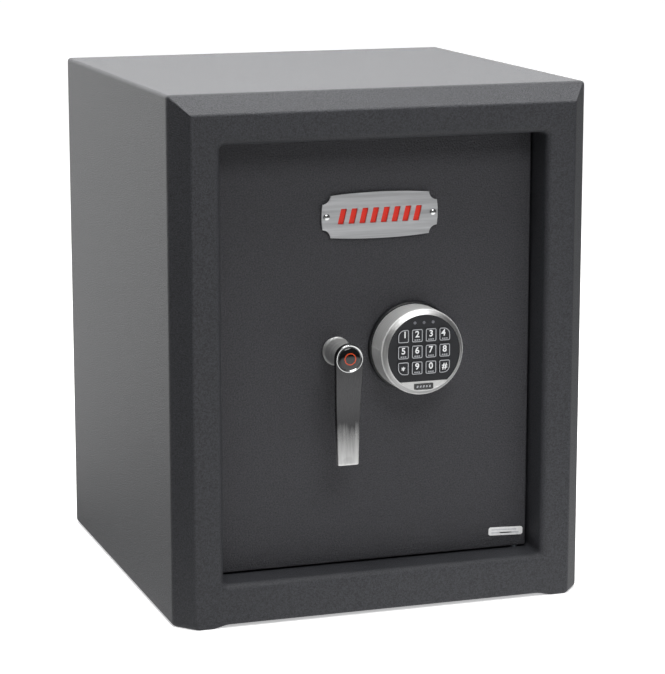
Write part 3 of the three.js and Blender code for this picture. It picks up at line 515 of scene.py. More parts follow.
def arc(cx, cy, radius, start, end, steps):
    """Points on an arc, angles in degrees."""
    angles = [math.radians(start + (end - start) * i / steps) for i in range(steps + 1)]
    return [(cx + radius * math.cos(angle), cy + radius * math.sin(angle)) for angle in angles]


def moved(origin, *steps_mm):
    """Points at steps in millimetres from an origin in metres."""
    return [(origin[0] + a * MM, origin[1] + b * MM) for a, b in steps_mm]


def dome(radius, foot, rise, degrees):
    """The upper part of a domed profile: an ellipse that stands on a rim at foot."""
    turns = [math.radians(angle) for angle in degrees]
    return [(radius * math.cos(turn), foot + rise * math.sin(turn)) for turn in turns]


def fillet(corners, steps=5):
    """A polyline through (a, b, radius) corners, each rounded by its radius."""
    points = []
    for i, (a, b, radius) in enumerate(corners):
        if radius == 0 or i in (0, len(corners) - 1):
            points.append((a, b))
            continue
        here = Vector((a, b))
        before = (Vector(corners[i - 1][:2]) - here).normalized()
        after = (Vector(corners[i + 1][:2]) - here).normalized()
        half = before.angle(after) / 2
        back = radius / math.tan(half)
        centre = here + (before + after).normalized() * (radius / math.sin(half))
        first = here + before * back - centre
        last = here + after * back - centre
        turn = first.angle_signed(last)
        for k in range(steps + 1):
            spoke = first.copy()
            spoke.rotate(Matrix.Rotation(-turn * k / steps, 2))
            points.append(tuple(centre + spoke))
    return points


def rounded_loop(low, high, radii, steps=6):
    """A rectangle in x and z with rounded corners: low left, low right, top right, top left."""
    (x0, z0), (x1, z1) = low, high
    low_left, low_right, top_right, top_left = radii
    points = arc(x0 + low_left, z0 + low_left, low_left, 180, 270, steps)
    points += arc(x1 - low_right, z0 + low_right, low_right, 270, 360, steps)
    points += arc(x1 - top_right, z1 - top_right, top_right, 0, 90, steps)
    points += arc(x0 + top_left, z1 - top_left, top_left, 90, 180, steps)
    return points


def at_depth(points, y, offset=(0.0, 0.0)):
    """Points in x and z as points in space at one depth."""
    return [Vector((x + offset[0], y, z + offset[1])) for x, z in points]


def slab(bm, outline_at, y_front, y_back, edge, steps=3, material=0):
    """A flat piece with rounded edges: outline_at(inset) gives its outline at each inset."""
    turns = [math.radians(90 * i / steps) for i in range(steps + 1)]
    round_off = [(edge * (1 - math.sin(turn)), edge * (1 - math.cos(turn))) for turn in turns]
    loops = [at_depth(outline_at(inset), y_front + behind) for inset, behind in round_off]
    loops += [at_depth(outline_at(inset), y_back - before) for before, inset in round_off]
    rings = loft(bm, loops, material=material)
    bm.faces.new(rings[0]).material_index = material
    bm.faces.new(rings[-1]).material_index = material
    return rings


def flat_print(bm, corners, y, material):
    """A printed patch: one flat face."""
    bm.faces.new([bm.verts.new(point) for point in at_depth(corners, y)]).material_index = material


def pierced(bm, outlines, y_front, y_back, offset=(0.0, 0.0)):
    """A flat plate bounded by its first outline and pierced by the others."""
    sides = []
    for y in (y_front, y_back):
        rings = [[bm.verts.new(point) for point in at_depth(loop, y, offset)] for loop in outlines]
        fill_between(bm, *rings)
        sides.append(rings)
    for near, far in zip(*sides):
        for i in range(len(near)):
            j = (i + 1) % len(near)
            bm.faces.new((near[i], near[j], far[j], far[i]))


def finish_node(node, material, bevel_mm=0.0):
    """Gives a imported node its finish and, where asked for, softened edges."""
    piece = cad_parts[node]
    piece.data.materials.clear()
    piece.data.materials.append(MATERIALS[material])
    if bevel_mm:
        modifier = piece.modifiers.new("Softened edges", "BEVEL")
        modifier.width = bevel_mm * MM
        modifier.segments = 2
        modifier.limit_method = "ANGLE"
        modifier.angle_limit = math.radians(50)
        modifier.harden_normals = False


# ---- Operators ------------------------------------------------------------------------------


class SAFE_OT_stage(bpy.types.Operator):
    """Pale floor, soft studio light and the camera"""

    bl_idname = "safe.stage"
    bl_label = "Stage"

    def execute(self, context):
        self.camera(context)
        self.floor()
        self.world(context)
        self.lamps()
        return {"FINISHED"}

    def camera(self, context):
        """A long lens to the left of the door and above the top, looking slightly down."""
        data = bpy.data.cameras.new("camera")
        data.sensor_fit = "HORIZONTAL"
        data.sensor_width = 36.0
        data.lens = 139.6
        data.clip_end = 100.0
        camera = placed("camera", data)
        camera.location = (-0.7852, FRAME_FACE - 2.1596, 0.7224)
        camera.rotation_euler = (math.radians(90 - 11.375), 0.0, math.radians(-18.742))
        context.scene.camera = camera

    def floor(self):
        """A wide pale floor. It throws light up at the safe from a pool around it and from behind."""
        bm = bmesh.new()
        half = 30.0
        corners = [(-half, -half), (half, -half), (half, half), (-half, half)]
        bm.faces.new([bm.verts.new((x, y, 0.0)) for x, y in corners])
        mesh = bpy.data.meshes.new("floor")
        bm.to_mesh(mesh)
        bm.free()
        floor = placed("floor", mesh)
        material, tree, shader, place = new_material("studio floor, white")
        tone = noise(tree, place, 900.0, 2.0, 0.5)
        tone_mix(tree, shader, tone, (0.86, 0.86, 0.86, 1.0), (0.88, 0.88, 0.88, 1.0))
        set_inputs(shader, Roughness=0.9, IOR=1.45, Emission_Color=(1, 1, 1, 1), Emission_Strength=0.42)
        pool_centre, pool_squeeze = (0.35, -0.8, 0.0), (1.0, 0.6, 1.0)
        from_centre = vector_maths(tree, "SUBTRACT", place, pool_centre)
        far = vector_maths(tree, "LENGTH", vector_maths(tree, "MULTIPLY", from_centre, pool_squeeze))
        pool = ramp(tree, far, 0.45, 1.1, 1.3, 0.02)
        back = ramp(tree, parted(tree, place)["Y"], 0.0, 0.6, 0.0, 1.7)
        left = ramp(tree, parted(tree, place)["X"], -0.2, 0.6, 1.0, 0.45)
        level = maths(tree, "MAXIMUM", pool, maths(tree, "MULTIPLY", back, left))
        glow = add(tree, "ShaderNodeEmission", {"Color": (1, 1, 1, 1), "Strength": level})
        ray = add(tree, "ShaderNodeLightPath").outputs["Is Camera Ray"]
        mix = add(tree, "ShaderNodeMixShader", {0: ray, 1: glow.outputs[0], 2: shader.outputs[0]})
        output = next(node for node in tree.nodes if node.type == "OUTPUT_MATERIAL")
        tree.links.new(mix.outputs[0], output.inputs["Surface"])
        mesh.materials.append(material)

    def world(self, context):
        """A white wall behind, a soft ceiling and dim sides; the camera sees plain white, which the
        Standard view keeps white."""
        world = bpy.data.worlds.new("studio")
        context.scene.world = world
        world.use_nodes = True
        tree = world.node_tree
        tree.nodes.clear()
        direction = add(tree, "ShaderNodeTexCoord").outputs["Generated"]
        parts = parted(tree, direction)
        wall = ramp(tree, parts["Y"], 0.55, 0.9, 0.0, 3.6)
        ceiling = ramp(tree, parts["Z"], 0.6, 0.9, 0.0, 0.7)
        front = ramp(tree, parts["Y"], 0.0, -0.9, 0.04, 0.1)
        level = maths(tree, "MAXIMUM", maths(tree, "MAXIMUM", wall, ceiling), front)
        lit = add(tree, "ShaderNodeBackground", {"Color": (1, 1, 1, 1), "Strength": level})
        seen = add(tree, "ShaderNodeBackground", {"Color": (1, 1, 1, 1), "Strength": 1.0})
        ray = add(tree, "ShaderNodeLightPath").outputs["Is Camera Ray"]
        mix = add(tree, "ShaderNodeMixShader", {0: ray, 1: lit.outputs[0], 2: seen.outputs[0]})
        add(tree, "ShaderNodeOutputWorld", {"Surface": mix.outputs["Shader"]})
        context.scene.view_settings.view_transform = "Standard"

    def lamps(self):
        """A wide overhead panel and a soft panel above the camera."""
        lamps = [
            ("overhead", (0.05, -0.05, 2.2), (0.05, -0.05, 0.3), 1.6, 1.6, 60.0),
            ("front top", (0.05, -2.3, 2.3), (0.0, -0.2, 0.25), 1.4, 1.0, 31.0),
        ]
        for name, place, target, width, height, watts in lamps:
            data = bpy.data.lights.new(name, "AREA")
            data.shape = "RECTANGLE"
            data.size = width
            data.size_y = height
            data.energy = watts
            lamp = placed(name, data)
            lamp.location = place
            aim = Vector(target) - Vector(place)
            lamp.rotation_euler = aim.to_track_quat("-Z", "Y").to_euler()
            lamp.visible_camera = False


class SAFE_OT_casing(bpy.types.Operator):
    """Welded sheet casing with its bevelled front frame and runners"""

    bl_idname = "safe.casing"
    bl_label = "Casing"

    def execute(self, context):
        sizes = context.scene.safe_sizes
        bm = bmesh.new()
        outer = self.section(sizes)
        loops = []
        for u, v in outer:
            lift = u if v > 2 * sizes.bevel_depth else max(0.0, u - sizes.bevel_width)
            loops.append(at_depth(self.outline(sizes, u, lift), FRAME_FACE + v))
        rings = loft(bm, loops)
        opening = self.opening_section(sizes)
        inner = loft(bm, [at_depth(self.opening(sizes, u), FRAME_FACE + v) for u, v in opening])
        fill_between(bm, rings[-1], inner[0])
        bmesh.ops.recalc_face_normals(bm, faces=bm.faces)
        level = max(bm.faces, key=lambda face: face.calc_area() * (abs(face.normal.z) > 0.9))
        if level.normal.z * (level.calc_center_median().z - BODY_HIGH.z / 2) < 0:
            bmesh.ops.reverse_faces(bm, faces=bm.faces)
        nodes = ("body_shell", "frame_top_rail", "frame_sill", "frame_stile_left", "frame_stile_right")
        looks = ("casing", bm, ["body_coat"], "cabinet", "body_powder_coat", nodes)
        casing = make_piece(*looks, sharp=40, closed=False, weighted=False)
        sheet = casing.modifiers.new("Sheet thickness", "SOLIDIFY")
        sheet.thickness = 2.0 * MM
        sheet.offset = -1.0
        sheet.use_even_offset = False
        add_weighted_normals(casing)
        return {"FINISHED"}

    def section(self, sizes):
        """The casing's section: u runs inwards from its outside, v back from the frame's face."""
        depth = BODY_HIGH.y - FRAME_FACE
        rim = 3.0 * MM
        corners = [
            (rim, depth - 5 * MM, 0),
            (rim, depth, 0.8 * MM),
            (0, depth, 2.0 * MM),
            (0, sizes.bevel_depth, sizes.fold_radius * 1.6),
            (sizes.bevel_width, 0, sizes.fold_radius),
            (sizes.bevel_width + 8 * MM, 0, 0),
        ]
        return fillet(corners)

    def outline(self, sizes, inset, lift):
        """The casing's outline at one inset: three sides move in and the underside moves up by lift."""
        x1 = BODY_HIGH.x - inset
        z1 = BODY_HIGH.z - inset
        top = max(0.4 * MM, sizes.casing_corner - inset)
        low = sizes.foot_corner
        points = arc(x1 - top, z1 - top, top, 0, 90, 5)
        points += arc(-x1 + top, z1 - top, top, 90, 180, 5)
        points += arc(-x1 + low, low + lift, low, 180, 270, 4)
        rise = [(x, z + lift) for x, z in self.runner(sizes)]
        points += [(-x, z) for x, z in rise]
        points += list(reversed(rise))
        points += arc(x1 - low, low + lift, low, 270, 360, 4)
        return points

    def runner(self, sizes):
        """Points from the flat of a runner up to the bottom sheet, on the right-hand side."""
        start = BODY_HIGH.x - sizes.foot_width
        steps = 8
        points = []
        for i in range(steps + 1):
            share = i / steps
            lift = share * share * (3 - 2 * share)
            points.append((start - sizes.foot_rise * share, sizes.foot_height * lift))
        return points

    def opening_section(self, sizes):
        """The bend from the frame's face into the door opening and round behind the lip."""
        lip = RAIL_HIGH.y - FRAME_FACE
        corners = [
            (-sizes.opening_bend - 3 * MM, 0, 0),
            (0, 0, sizes.opening_bend),
            (0, lip, 1.2 * MM),
            (-21 * MM, lip, 0),
        ]
        return fillet(corners, 7)

    def opening(self, sizes, grow):
        """The door opening's outline, moved inwards by grow."""
        half = -RAIL_LOW.x - size_of("frame_stile_left").x - grow
        low = SILL_HIGH.z + grow
        high = RAIL_LOW.z - grow
        corner = max(0.5 * MM, sizes.opening_corner - grow)
        return rounded_loop((-half, low), (half, high), [corner] * 4)


class SAFE_OT_door(bpy.types.Operator):
    """Door plate and its white rating label"""

    bl_idname = "safe.door"
    bl_label = "Door"

    def execute(self, context):
        sizes = context.scene.safe_sizes
        bm = bmesh.new()

        def outline_at(inset):
            low = (DOOR_LOW.x + inset, DOOR_LOW.z + inset)
            high = (DOOR_HIGH.x - inset, DOOR_HIGH.z - inset)
            return rounded_loop(low, high, [1.6 * MM] * 4, 4)

        slab(bm, outline_at, DOOR_LOW.y, DOOR_HIGH.y, sizes.door_edge)
        make_piece("door_slab", bm, ["door_coat"], "door", "door_powder_coat", ("door_plate",))
        self.label()
        return {"FINISHED"}

    def label(self):
        """A small film label with rows of plain bars in place of print."""
        centre = middle("rating_label")
        half_w, half_h, tilt = 17.5 * MM, 4.0 * MM, math.radians(-2.5)
        front, back = (corner[1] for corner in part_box("rating_label"))

        def turned(points):
            cos, sin = math.cos(tilt), math.sin(tilt)
            return [(centre.x + x * cos - z * sin, centre.z + x * sin + z * cos) for x, z in points]

        bm = bmesh.new()

        def outline_at(inset):
            low, high = (-half_w + inset, -half_h + inset), (half_w - inset, half_h - inset)
            return turned(rounded_loop(low, high, [2.2 * MM] * 4))

        slab(bm, outline_at, front, back, 0.08 * MM, 1)
        bars = [(-14.5, 11.0, 1.5), (-14.5, 6.0, -1.4), (-6.0, 13.5, -1.4)]
        for left, right, row in bars:
            low, high = (row - 0.55) * MM, (row + 0.55) * MM
            left, right = left * MM, right * MM
            corners = turned([(left, low), (right, low), (right, high), (left, high)])
            flat_print(bm, corners, front - 0.02 * MM, 1)
        finishes = ["label", "label_ink"]
        make_piece("rating_label_film", bm, finishes, "door", "label_film", ("rating_label",), closed=False)


class SAFE_OT_name_plate(bpy.types.Operator):
    """Stainless name plate with plain slots, its red backing and two slotted screws"""

    bl_idname = "safe.name_plate"
    bl_label = "Name plate"

    def execute(self, context):
        thick = context.scene.safe_sizes.plate_thickness
        low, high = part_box("name_plate")
        back = high[1]
        front = back - thick
        centre = middle("name_plate")
        outline = [(x + centre.x, z + centre.z) for x, z in self.outline()]
        windows = [[(x + centre.x, z + centre.z) for x, z in window] for window in self.windows()]
        edge = 0.25 * MM
        bm = bmesh.new()
        pierced(bm, [outline] + windows, front, back)
        bmesh.ops.recalc_face_normals(bm, faces=bm.faces)
        rim = [e for e in bm.edges if e.calc_face_angle(0.0) > 1.2 and abs(e.verts[0].co.y - front) < 1e-7]
        rim = [e for e in rim if abs(e.verts[1].co.y - front) < 1e-7]
        bmesh.ops.bevel(bm, geom=rim, offset=edge, segments=2, affect="EDGES", clamp_overlap=True)
        make_piece("name_plate_cover", bm, ["name_plate"], "door", "brushed_stainless", ("name_plate",), 40)
        self.backing()
        for side in ("left", "right"):
            self.screw(side, front)
        return {"FINISHED"}

    def outline(self):
        """The plate's outline: bowed edges and scooped corners."""
        half_w, half_h, scoop = 55.4 * MM, 19.3 * MM, 7.6 * MM
        bow, end_bow = 2.1 * MM, 0.9 * MM
        steps = 16
        points = []

        def bowed(x0, x1, z, out):
            for i in range(steps):
                share = i / steps
                points.append((x0 + (x1 - x0) * share, z + out * 4 * share * (1 - share)))

        def ended(z0, z1, x, out):
            for i in range(6):
                share = i / 6
                points.append((x + out * 4 * share * (1 - share), z0 + (z1 - z0) * share))

        bowed(-half_w + scoop, half_w - scoop, -half_h, -bow)
        points.extend(arc(half_w, -half_h, scoop, 180, 90, 9))
        points.pop()
        ended(-half_h + scoop, half_h - scoop, half_w, end_bow)
        points.extend(arc(half_w, half_h, scoop, 270, 180, 9))
        points.pop()
        bowed(half_w - scoop, -half_w + scoop, half_h, bow)
        points.extend(arc(-half_w, half_h, scoop, 360, 270, 9))
        points.pop()
        ended(half_h - scoop, -half_h + scoop, -half_w, -end_bow)
        points.extend(arc(-half_w, -half_h, scoop, 90, 0, 9))
        points.pop()
        return points

    def windows(self):
        """A row of plain slots that all lean the same way, as a decorative stencil."""
        count, pitch, half, tall, lean = 8, 10.4 * MM, 2.8 * MM, 7.0 * MM, 1.7 * MM
        slots = []
        for i in range(count):
            x = (i - (count - 1) / 2) * pitch
            low = [(x - half - lean, -tall), (x + half - lean, -tall)]
            corners = low + [(x + half + lean, tall), (x - half + lean, tall)]
            slots.append(self.soft_corners(corners, 0.5 * MM))
        return slots

    def soft_corners(self, corners, radius):
        """Cuts each corner of a polygon with a small arc."""
        closed = [corners[-1]] + corners + [corners[0]]
        points = []
        for before, here, after in zip(closed, closed[1:], closed[2:]):
            run = fillet([(*before, 0), (*here, radius), (*after, 0)], 3)
            points.extend(run[1:-1])
        return points

    def backing(self):
        """The red sheet behind the slots."""
        low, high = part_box("name_plate_backing")
        bm = bmesh.new()

        def outline_at(inset):
            corners = (low[0] + inset, low[2] + inset), (high[0] - inset, high[2] - inset)
            return rounded_loop(*corners, [2 * MM] * 4)

        slab(bm, outline_at, low[1], high[1], 0.15 * MM, 1)
        make_piece("red_backing", bm, ["red"], "door", "red_enamel", ("name_plate_backing",))

    def screw(self, side, plate_front):
        """A dome-headed screw with a straight slot."""
        node = "name_plate_screw_" + side
        centre = middle(node)
        centre.y = plate_front
        radius, rise, slot_half, slot_deep = 3.2 * MM, 2.0 * MM, 0.4 * MM, 0.9 * MM
        bm = bmesh.new()
        rim = 0.35 * MM
        profile = moved((0, 0), (1.4, -6), (1.4, 0.02)) + moved((radius, 0), (-0.2, 0.02), (0, 0.35))
        profile += dome(radius, rim, rise - rim, range(12, 90, 11))
        lathe(bm, centre, profile, 40, cap_start=True, cap_end=True)
        cutter = bmesh.new()
        bmesh.ops.create_cube(cutter, size=1.0)
        top = centre.y - rise
        for vert in cutter.verts:
            vert.co.x = centre.x + vert.co.x * 3 * radius
            vert.co.y = top + vert.co.y * 2 * slot_deep
            vert.co.z = centre.z + vert.co.z * 2 * slot_half
        carve(bm, cutter)
        make_piece("plate_screw_" + side, bm, ["polished"], "door", "polished_steel", (node,), 40)


def carve(bm, cutter):
    """Cuts one closed bmesh out of another, in place, and frees the cutter."""
    objects = []
    for part in (bm, cutter):
        mesh = bpy.data.meshes.new("carving")
        bmesh.ops.recalc_face_normals(part, faces=part.faces)
        part.to_mesh(mesh)
        objects.append(placed("carving", mesh))
    cutter.free()
    target, tool = objects
    cut = target.modifiers.new("Cut", "BOOLEAN")
    cut.object = tool
    cut.operation = "DIFFERENCE"
    cut.solver = "EXACT"
    result = finished_mesh(target)
    bm.clear()
    bm.from_mesh(result)
    meshes = [result, target.data, tool.data]
    for piece in objects:
        bpy.data.objects.remove(piece)
    for mesh in meshes:
        bpy.data.meshes.remove(mesh)


class SAFE_OT_lever(bpy.types.Operator):
    """Drop lever on its flared hub, with a gloss black cap"""

    bl_idname = "safe.lever"
    bl_label = "Lever"

    def execute(self, context):
        low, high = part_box("handle_lever")
        self.axis = LEVER_AXIS
        self.radius = size_of("handle_lever").x / 2
        self.tip = LEVER_AXIS.z - low[2]
        self.reach = DOOR_FACE - low[1]
        self.face = DOOR_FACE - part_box("handle_cap")[1][1]
        bm = bmesh.new()
        self.arm(bm)
        self.hub(bm)
        make_piece("lever_casting", bm, ["lever", "hub"], "handle", "satin_steel", ("handle_lever",), 38)
        self.cap()
        return {"FINISHED"}

    def outline(self, inset):
        """The lever's outline about the spindle's axis: a round head and a tapering arm."""
        head = self.radius - inset
        tip = 10.0 * MM - inset
        low = -self.tip + inset
        corner = max(0.4 * MM, 1.6 * MM - inset)
        right = arc(0, 0, head, 90, -8, 16)
        start = right[-1]
        steps = 48
        end = (tip, low + corner)
        for i in range(1, steps):
            share = i / steps
            right.append((start[0] + (end[0] - start[0]) * share, start[1] + (end[1] - start[1]) * share))
        right += arc(tip - corner, low + corner, corner, 0, -90, 4)
        left = [(-x, z) for x, z in reversed(right)]
        shift = -1.6 * MM / self.tip
        return [(x - shift * min(0.0, z), z) for x, z in right + left[:-1]]

    def front_reach(self, z):
        """How far the lever's face stands off the door: it dips below the head and curls out at the tip."""
        down = max(0.0, min(1.0, (-z - self.radius) / (self.tip - self.radius)))
        dip = 1.6 * MM * math.sin(math.pi * down) ** 2 * (1 - down)
        return self.face - dip + (self.reach - self.face) * down**5

    def arm(self, bm):
        thick = 5.0 * MM
        edge = 1.0 * MM
        turns = [math.radians(90 * k / 4) for k in range(5)]
        round_off = [(edge * (1 - math.sin(turn)), edge * (1 - math.cos(turn))) for turn in turns]
        levels = [(inset, thick - before) for inset, before in round_off]
        levels += [(inset, behind) for behind, inset in round_off]
        levels += moved((0, 0), (2.2, 0.0), (4.5, 0.18), (7.5, 0.32))
        loops = []
        for inset, behind in levels:
            outline = self.outline(inset)
            loops.append([self.axis + Vector((x, behind - self.front_reach(z), z)) for x, z in outline])
        rings = loft(bm, loops)
        for ring in (rings[0], rings[-1]):
            self.close_strip(bm, ring)

    def close_strip(self, bm, ring):
        """Closes a loop by joining each point to the one opposite it."""
        count = len(ring)
        for k in range(count // 2):
            places = (k, (k + 1) % count, (count - k - 1) % count, (count - k) % count)
            corners = [ring[place] for place in dict.fromkeys(places)]
            if len(corners) > 2:
                bm.faces.new(corners)

    def hub(self, bm):
        """The flared round hub between the door and the arm."""
        waist = 11.9 * MM
        foot = 12.9 * MM
        neck = self.radius - 0.5 * MM
        flare = 6.0 * MM
        profile = moved((foot, 0), (-0.8, 0.5), (-0.2, 0.8), (0, 1.5), (-0.1, 2.3))
        profile += arc(waist + flare, 8.4 * MM, flare, 222, 180, 6)
        profile += moved((waist, self.face), (0, -15), (0.3, -11))
        profile += moved((neck, self.face), (0, -7.5), (0.3, -4), (0, -2.2))
        lathe(bm, self.axis, profile, 64, material=1, cap_start=True, cap_end=True)

    def cap(self):
        """A bright dished ring, a domed black cap inside it and a plain printed ring."""
        bm = bmesh.new()
        ring = moved((0, self.face), (12.7, -0.9), (12.7, 0.35), (12.4, 0.6), (11.9, 0.55))
        ring += moved((0, self.face), (10.9, -0.1), (10.5, -0.4), (10.4, -0.9))
        lathe(bm, self.axis, ring + ring[:1], 72)
        make_piece("cap_bezel", bm, ["polished"], "handle", "satin_steel", (), 50)
        bm = bmesh.new()
        radius, rise, foot = 10.1 * MM, 1.9 * MM, self.face + 0.3 * MM
        profile = [(radius, self.face - 0.5 * MM), (radius, foot)]
        profile += dome(radius, foot, rise, range(5, 90, 5))
        lathe(bm, self.axis, profile, 72, cap_start=True, cap_end=True)
        ring = [4.6 * MM, 5.1 * MM, 5.6 * MM]
        mark = [(r, foot + rise * math.sqrt(1 - (r / radius) ** 2) + 0.08 * MM) for r in ring]
        lathe(bm, self.axis, mark, 72, material=1)
        finishes = ["cap", "cap_mark"]
        make_piece("lever_cap", bm, finishes, "handle", "black_abs", ("handle_cap",), 50, closed=False)


class SAFE_OT_keypad(bpy.types.Operator):
    """Keypad housing, face, twelve printed keys and three lamps"""

    bl_idname = "safe.keypad"
    bl_label = "Keypad"

    face_radius = 35.0 * MM
    chord = 26.4 * MM
    characters = "12345678*90#"

    def execute(self, context):
        self.rim = DOOR_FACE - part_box("keypad_housing")[0][1]
        self.front = DOOR_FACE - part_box("keypad_face")[0][1]
        self.base()
        self.housing()
        self.face()
        for number in range(1, 13):
            self.key(number, context.scene.safe_sizes.print_width)
        self.lamps()
        return {"FINISHED"}

    def base(self):
        """The black moulded base ring behind the housing."""
        bm = bmesh.new()
        radius = size_of("keypad_base").x / 2
        depth = size_of("keypad_base").y
        edge = 1.6 * MM
        profile = moved((radius, 0), (-0.6, 0.3), (0, 0.9)) + moved((radius, depth), (0, -1.3))
        profile += arc(radius - edge, depth - 1.3 * MM, edge, 0, 90, 5)[1:]
        lathe(bm, KEYPAD_AXIS, profile, cap_start=True, cap_end=True)
        make_piece("keypad_base_ring", bm, ["black_abs"], "door", "black_abs", ("keypad_base",), 40)

    def housing(self):
        """The metal cup: a straight side, a soft edge and a sloping front ring, with its chin."""
        outer = size_of("keypad_housing").x / 2
        foot = DOOR_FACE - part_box("keypad_housing")[1][1]
        rim, face = self.rim, self.face_radius
        wall = outer - 2.2 * MM
        seat = rim - 2.2 * MM
        shoulder = rim - 4.4 * MM
        edge = 1.2 * MM
        profile = [(wall, foot)] + moved((outer, foot), (-0.5, 0), (0, 0.5)) + [(outer, shoulder - edge)]
        profile += arc(outer - edge, shoulder - edge, edge, 0, 50, 5)[1:]
        profile += moved((outer, shoulder), (-1.1, 0.35), (-2.4, 2.1))
        profile += moved((face, rim), (1.1, -0.7), (0.6, -0.3), (0.3, -0.2), (0.1, -0.6))
        profile += moved((face, seat), (0.1, -1.5)) + moved((wall, seat), (-2, -1.8), (0, -6))
        bm = bmesh.new()
        lathe(bm, KEYPAD_AXIS, profile + profile[:1], 128)
        # Faces on the straight side take the second finish, whose lighter colour is a painted highlight.
        for face in bm.faces:
            from_axis = face.calc_center_median() - KEYPAD_AXIS
            from_axis.y = 0.0
            if from_axis.length > outer - 0.8 * MM:
                face.material_index = 1
        finishes = ["housing", "housing_side"]
        make_piece("keypad_shell", bm, finishes, "keypad", "satin_steel", ("keypad_housing",), 60)
        self.chin(seat)
        self.rib(outer, foot)

    def chin(self, seat):
        """The flat metal segment below the face with a plain black badge."""
        radius = self.face_radius + 0.2 * MM
        start = math.degrees(math.asin((self.chord + 0.3 * MM) / radius))
        outline = arc(0, 0, radius, 180 + start, 360 - start, 40)
        bm = bmesh.new()
        front = DOOR_FACE - self.front - 0.1 * MM
        back = DOOR_FACE - seat + 1.5 * MM
        for ring in loft(bm, [at_depth(outline, y, (KEYPAD_AXIS.x, KEYPAD_AXIS.z)) for y in (front, back)]):
            bm.faces.new(ring)
        make_piece("keypad_chin", bm, ["housing"], "keypad", "satin_steel")
        bm = bmesh.new()
        z = KEYPAD_AXIS.z - 31.6 * MM

        def outline_at(inset):
            low = (KEYPAD_AXIS.x - 9.4 * MM + inset, z - 2.9 * MM + inset)
            high = (KEYPAD_AXIS.x + 9.4 * MM - inset, z + 2.9 * MM - inset)
            return rounded_loop(low, high, [0.6 * MM] * 4, 3)

        slab(bm, outline_at, front - 0.35 * MM, front - 0.02 * MM, 0.12 * MM, 2)
        bar_pitch = 3.0 * MM
        for place in (-2, -1, 0, 1, 2):
            x = KEYPAD_AXIS.x + place * bar_pitch
            corners = moved((x, z), (-1.0, -0.9), (0.6, -0.9), (1.0, 0.9), (-0.6, 0.9))
            flat_print(bm, corners, front - 0.37 * MM, 1)
        make_piece("keypad_badge", bm, ["cap", "key_print"], "keypad", "black_abs", closed=False)

    def rib(self, outer, foot):
        """A narrow parting rib on the side of the housing."""
        bm = bmesh.new()
        angle = math.radians(180 - 4)
        loops = []
        side = moved((outer, foot), (-0.4, 1), (0.32, 1.6))
        side += moved((outer, self.rim), (0.32, -9), (-0.6, -6.8), (-2.2, -5.0), (-3.4, -4.6))
        for turn, lift in ((-0.8, 0.0), (-0.45, 0.25 * MM), (0.45, 0.25 * MM), (0.8, 0.0)):
            a = angle + turn * MM / outer
            spoke = Vector((math.cos(a), 0, math.sin(a)))
            loops.append([KEYPAD_AXIS + spoke * (r + lift) - Vector((0, y, 0)) for r, y in side])
        rings = loft(bm, loops, closed=False)
        bm.faces.new(rings[0])
        bm.faces.new(rings[-1])
        ends = [[ring[0] for ring in rings], [ring[-1] for ring in rings]]
        for end in ends:
            bm.faces.new(end)
        bm.faces.new([rings[0][0], rings[-1][0], rings[-1][-1], rings[0][-1]])
        make_piece("keypad_rib", bm, ["housing_side"], "keypad", "satin_steel", sharp=50)

    def key_shape(self, number, inset):
        """A key's outline about the keypad's axis; corner keys follow the round face."""
        low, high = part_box(f"key_{number:02d}")
        row, column = divmod(number - 1, 4)
        x0, x1 = low[0] - KEYPAD_AXIS.x + inset, high[0] - KEYPAD_AXIS.x - inset
        z0, z1 = low[2] - KEYPAD_AXIS.z + inset, high[2] - KEYPAD_AXIS.z - inset
        radii = [1.9 * MM] * 4
        outer = {(0, 0): 3, (0, 3): 2, (2, 0): 0, (2, 3): 1}.get((row, column))
        if outer is not None:
            radii[outer] = 6.6 * MM
        radii = [max(0.3 * MM, radius - inset) for radius in radii]
        return rounded_loop((x0, z0), (x1, z1), radii, 6)

    def face(self):
        """The black face with a window for each key."""
        start = math.degrees(math.asin(self.chord / self.face_radius))
        outline = arc(0, 0, self.face_radius, -start, 180 + start, 96)
        holes = [self.key_shape(number, -0.25 * MM) for number in range(1, 13)]
        front = DOOR_FACE - self.front
        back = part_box("keypad_face")[1][1]
        offset = (KEYPAD_AXIS.x, KEYPAD_AXIS.z)
        bm = bmesh.new()
        pierced(bm, [outline] + holes, front, back, offset)
        make_piece("keypad_membrane", bm, ["rubber"], "keypad", "keypad_rubber", ("keypad_face",), 40)

    def key(self, number, line):
        """One key: a soft cap, the printed line round it and its digit."""
        node = f"key_{number:02d}"
        low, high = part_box(node)
        offset = (KEYPAD_AXIS.x, KEYPAD_AXIS.z)
        front = low[1]
        bm = bmesh.new()

        def outline_at(inset):
            return [(x + offset[0], z + offset[1]) for x, z in self.key_shape(number, inset)]

        slab(bm, outline_at, front, high[1], 0.35 * MM, 3)
        loops = [at_depth(outline_at(inset), front - PRINT_LIFT) for inset in (0.38 * MM, 0.38 * MM + line)]
        loft(bm, loops, material=1)
        self.print_text(bm, self.characters[number - 1], low, high, front - PRINT_LIFT)
        finishes = ["rubber", "key_print", "digit_print"]
        make_piece(node + "_cap", bm, finishes, node, "keypad_rubber", (node,), closed=False)

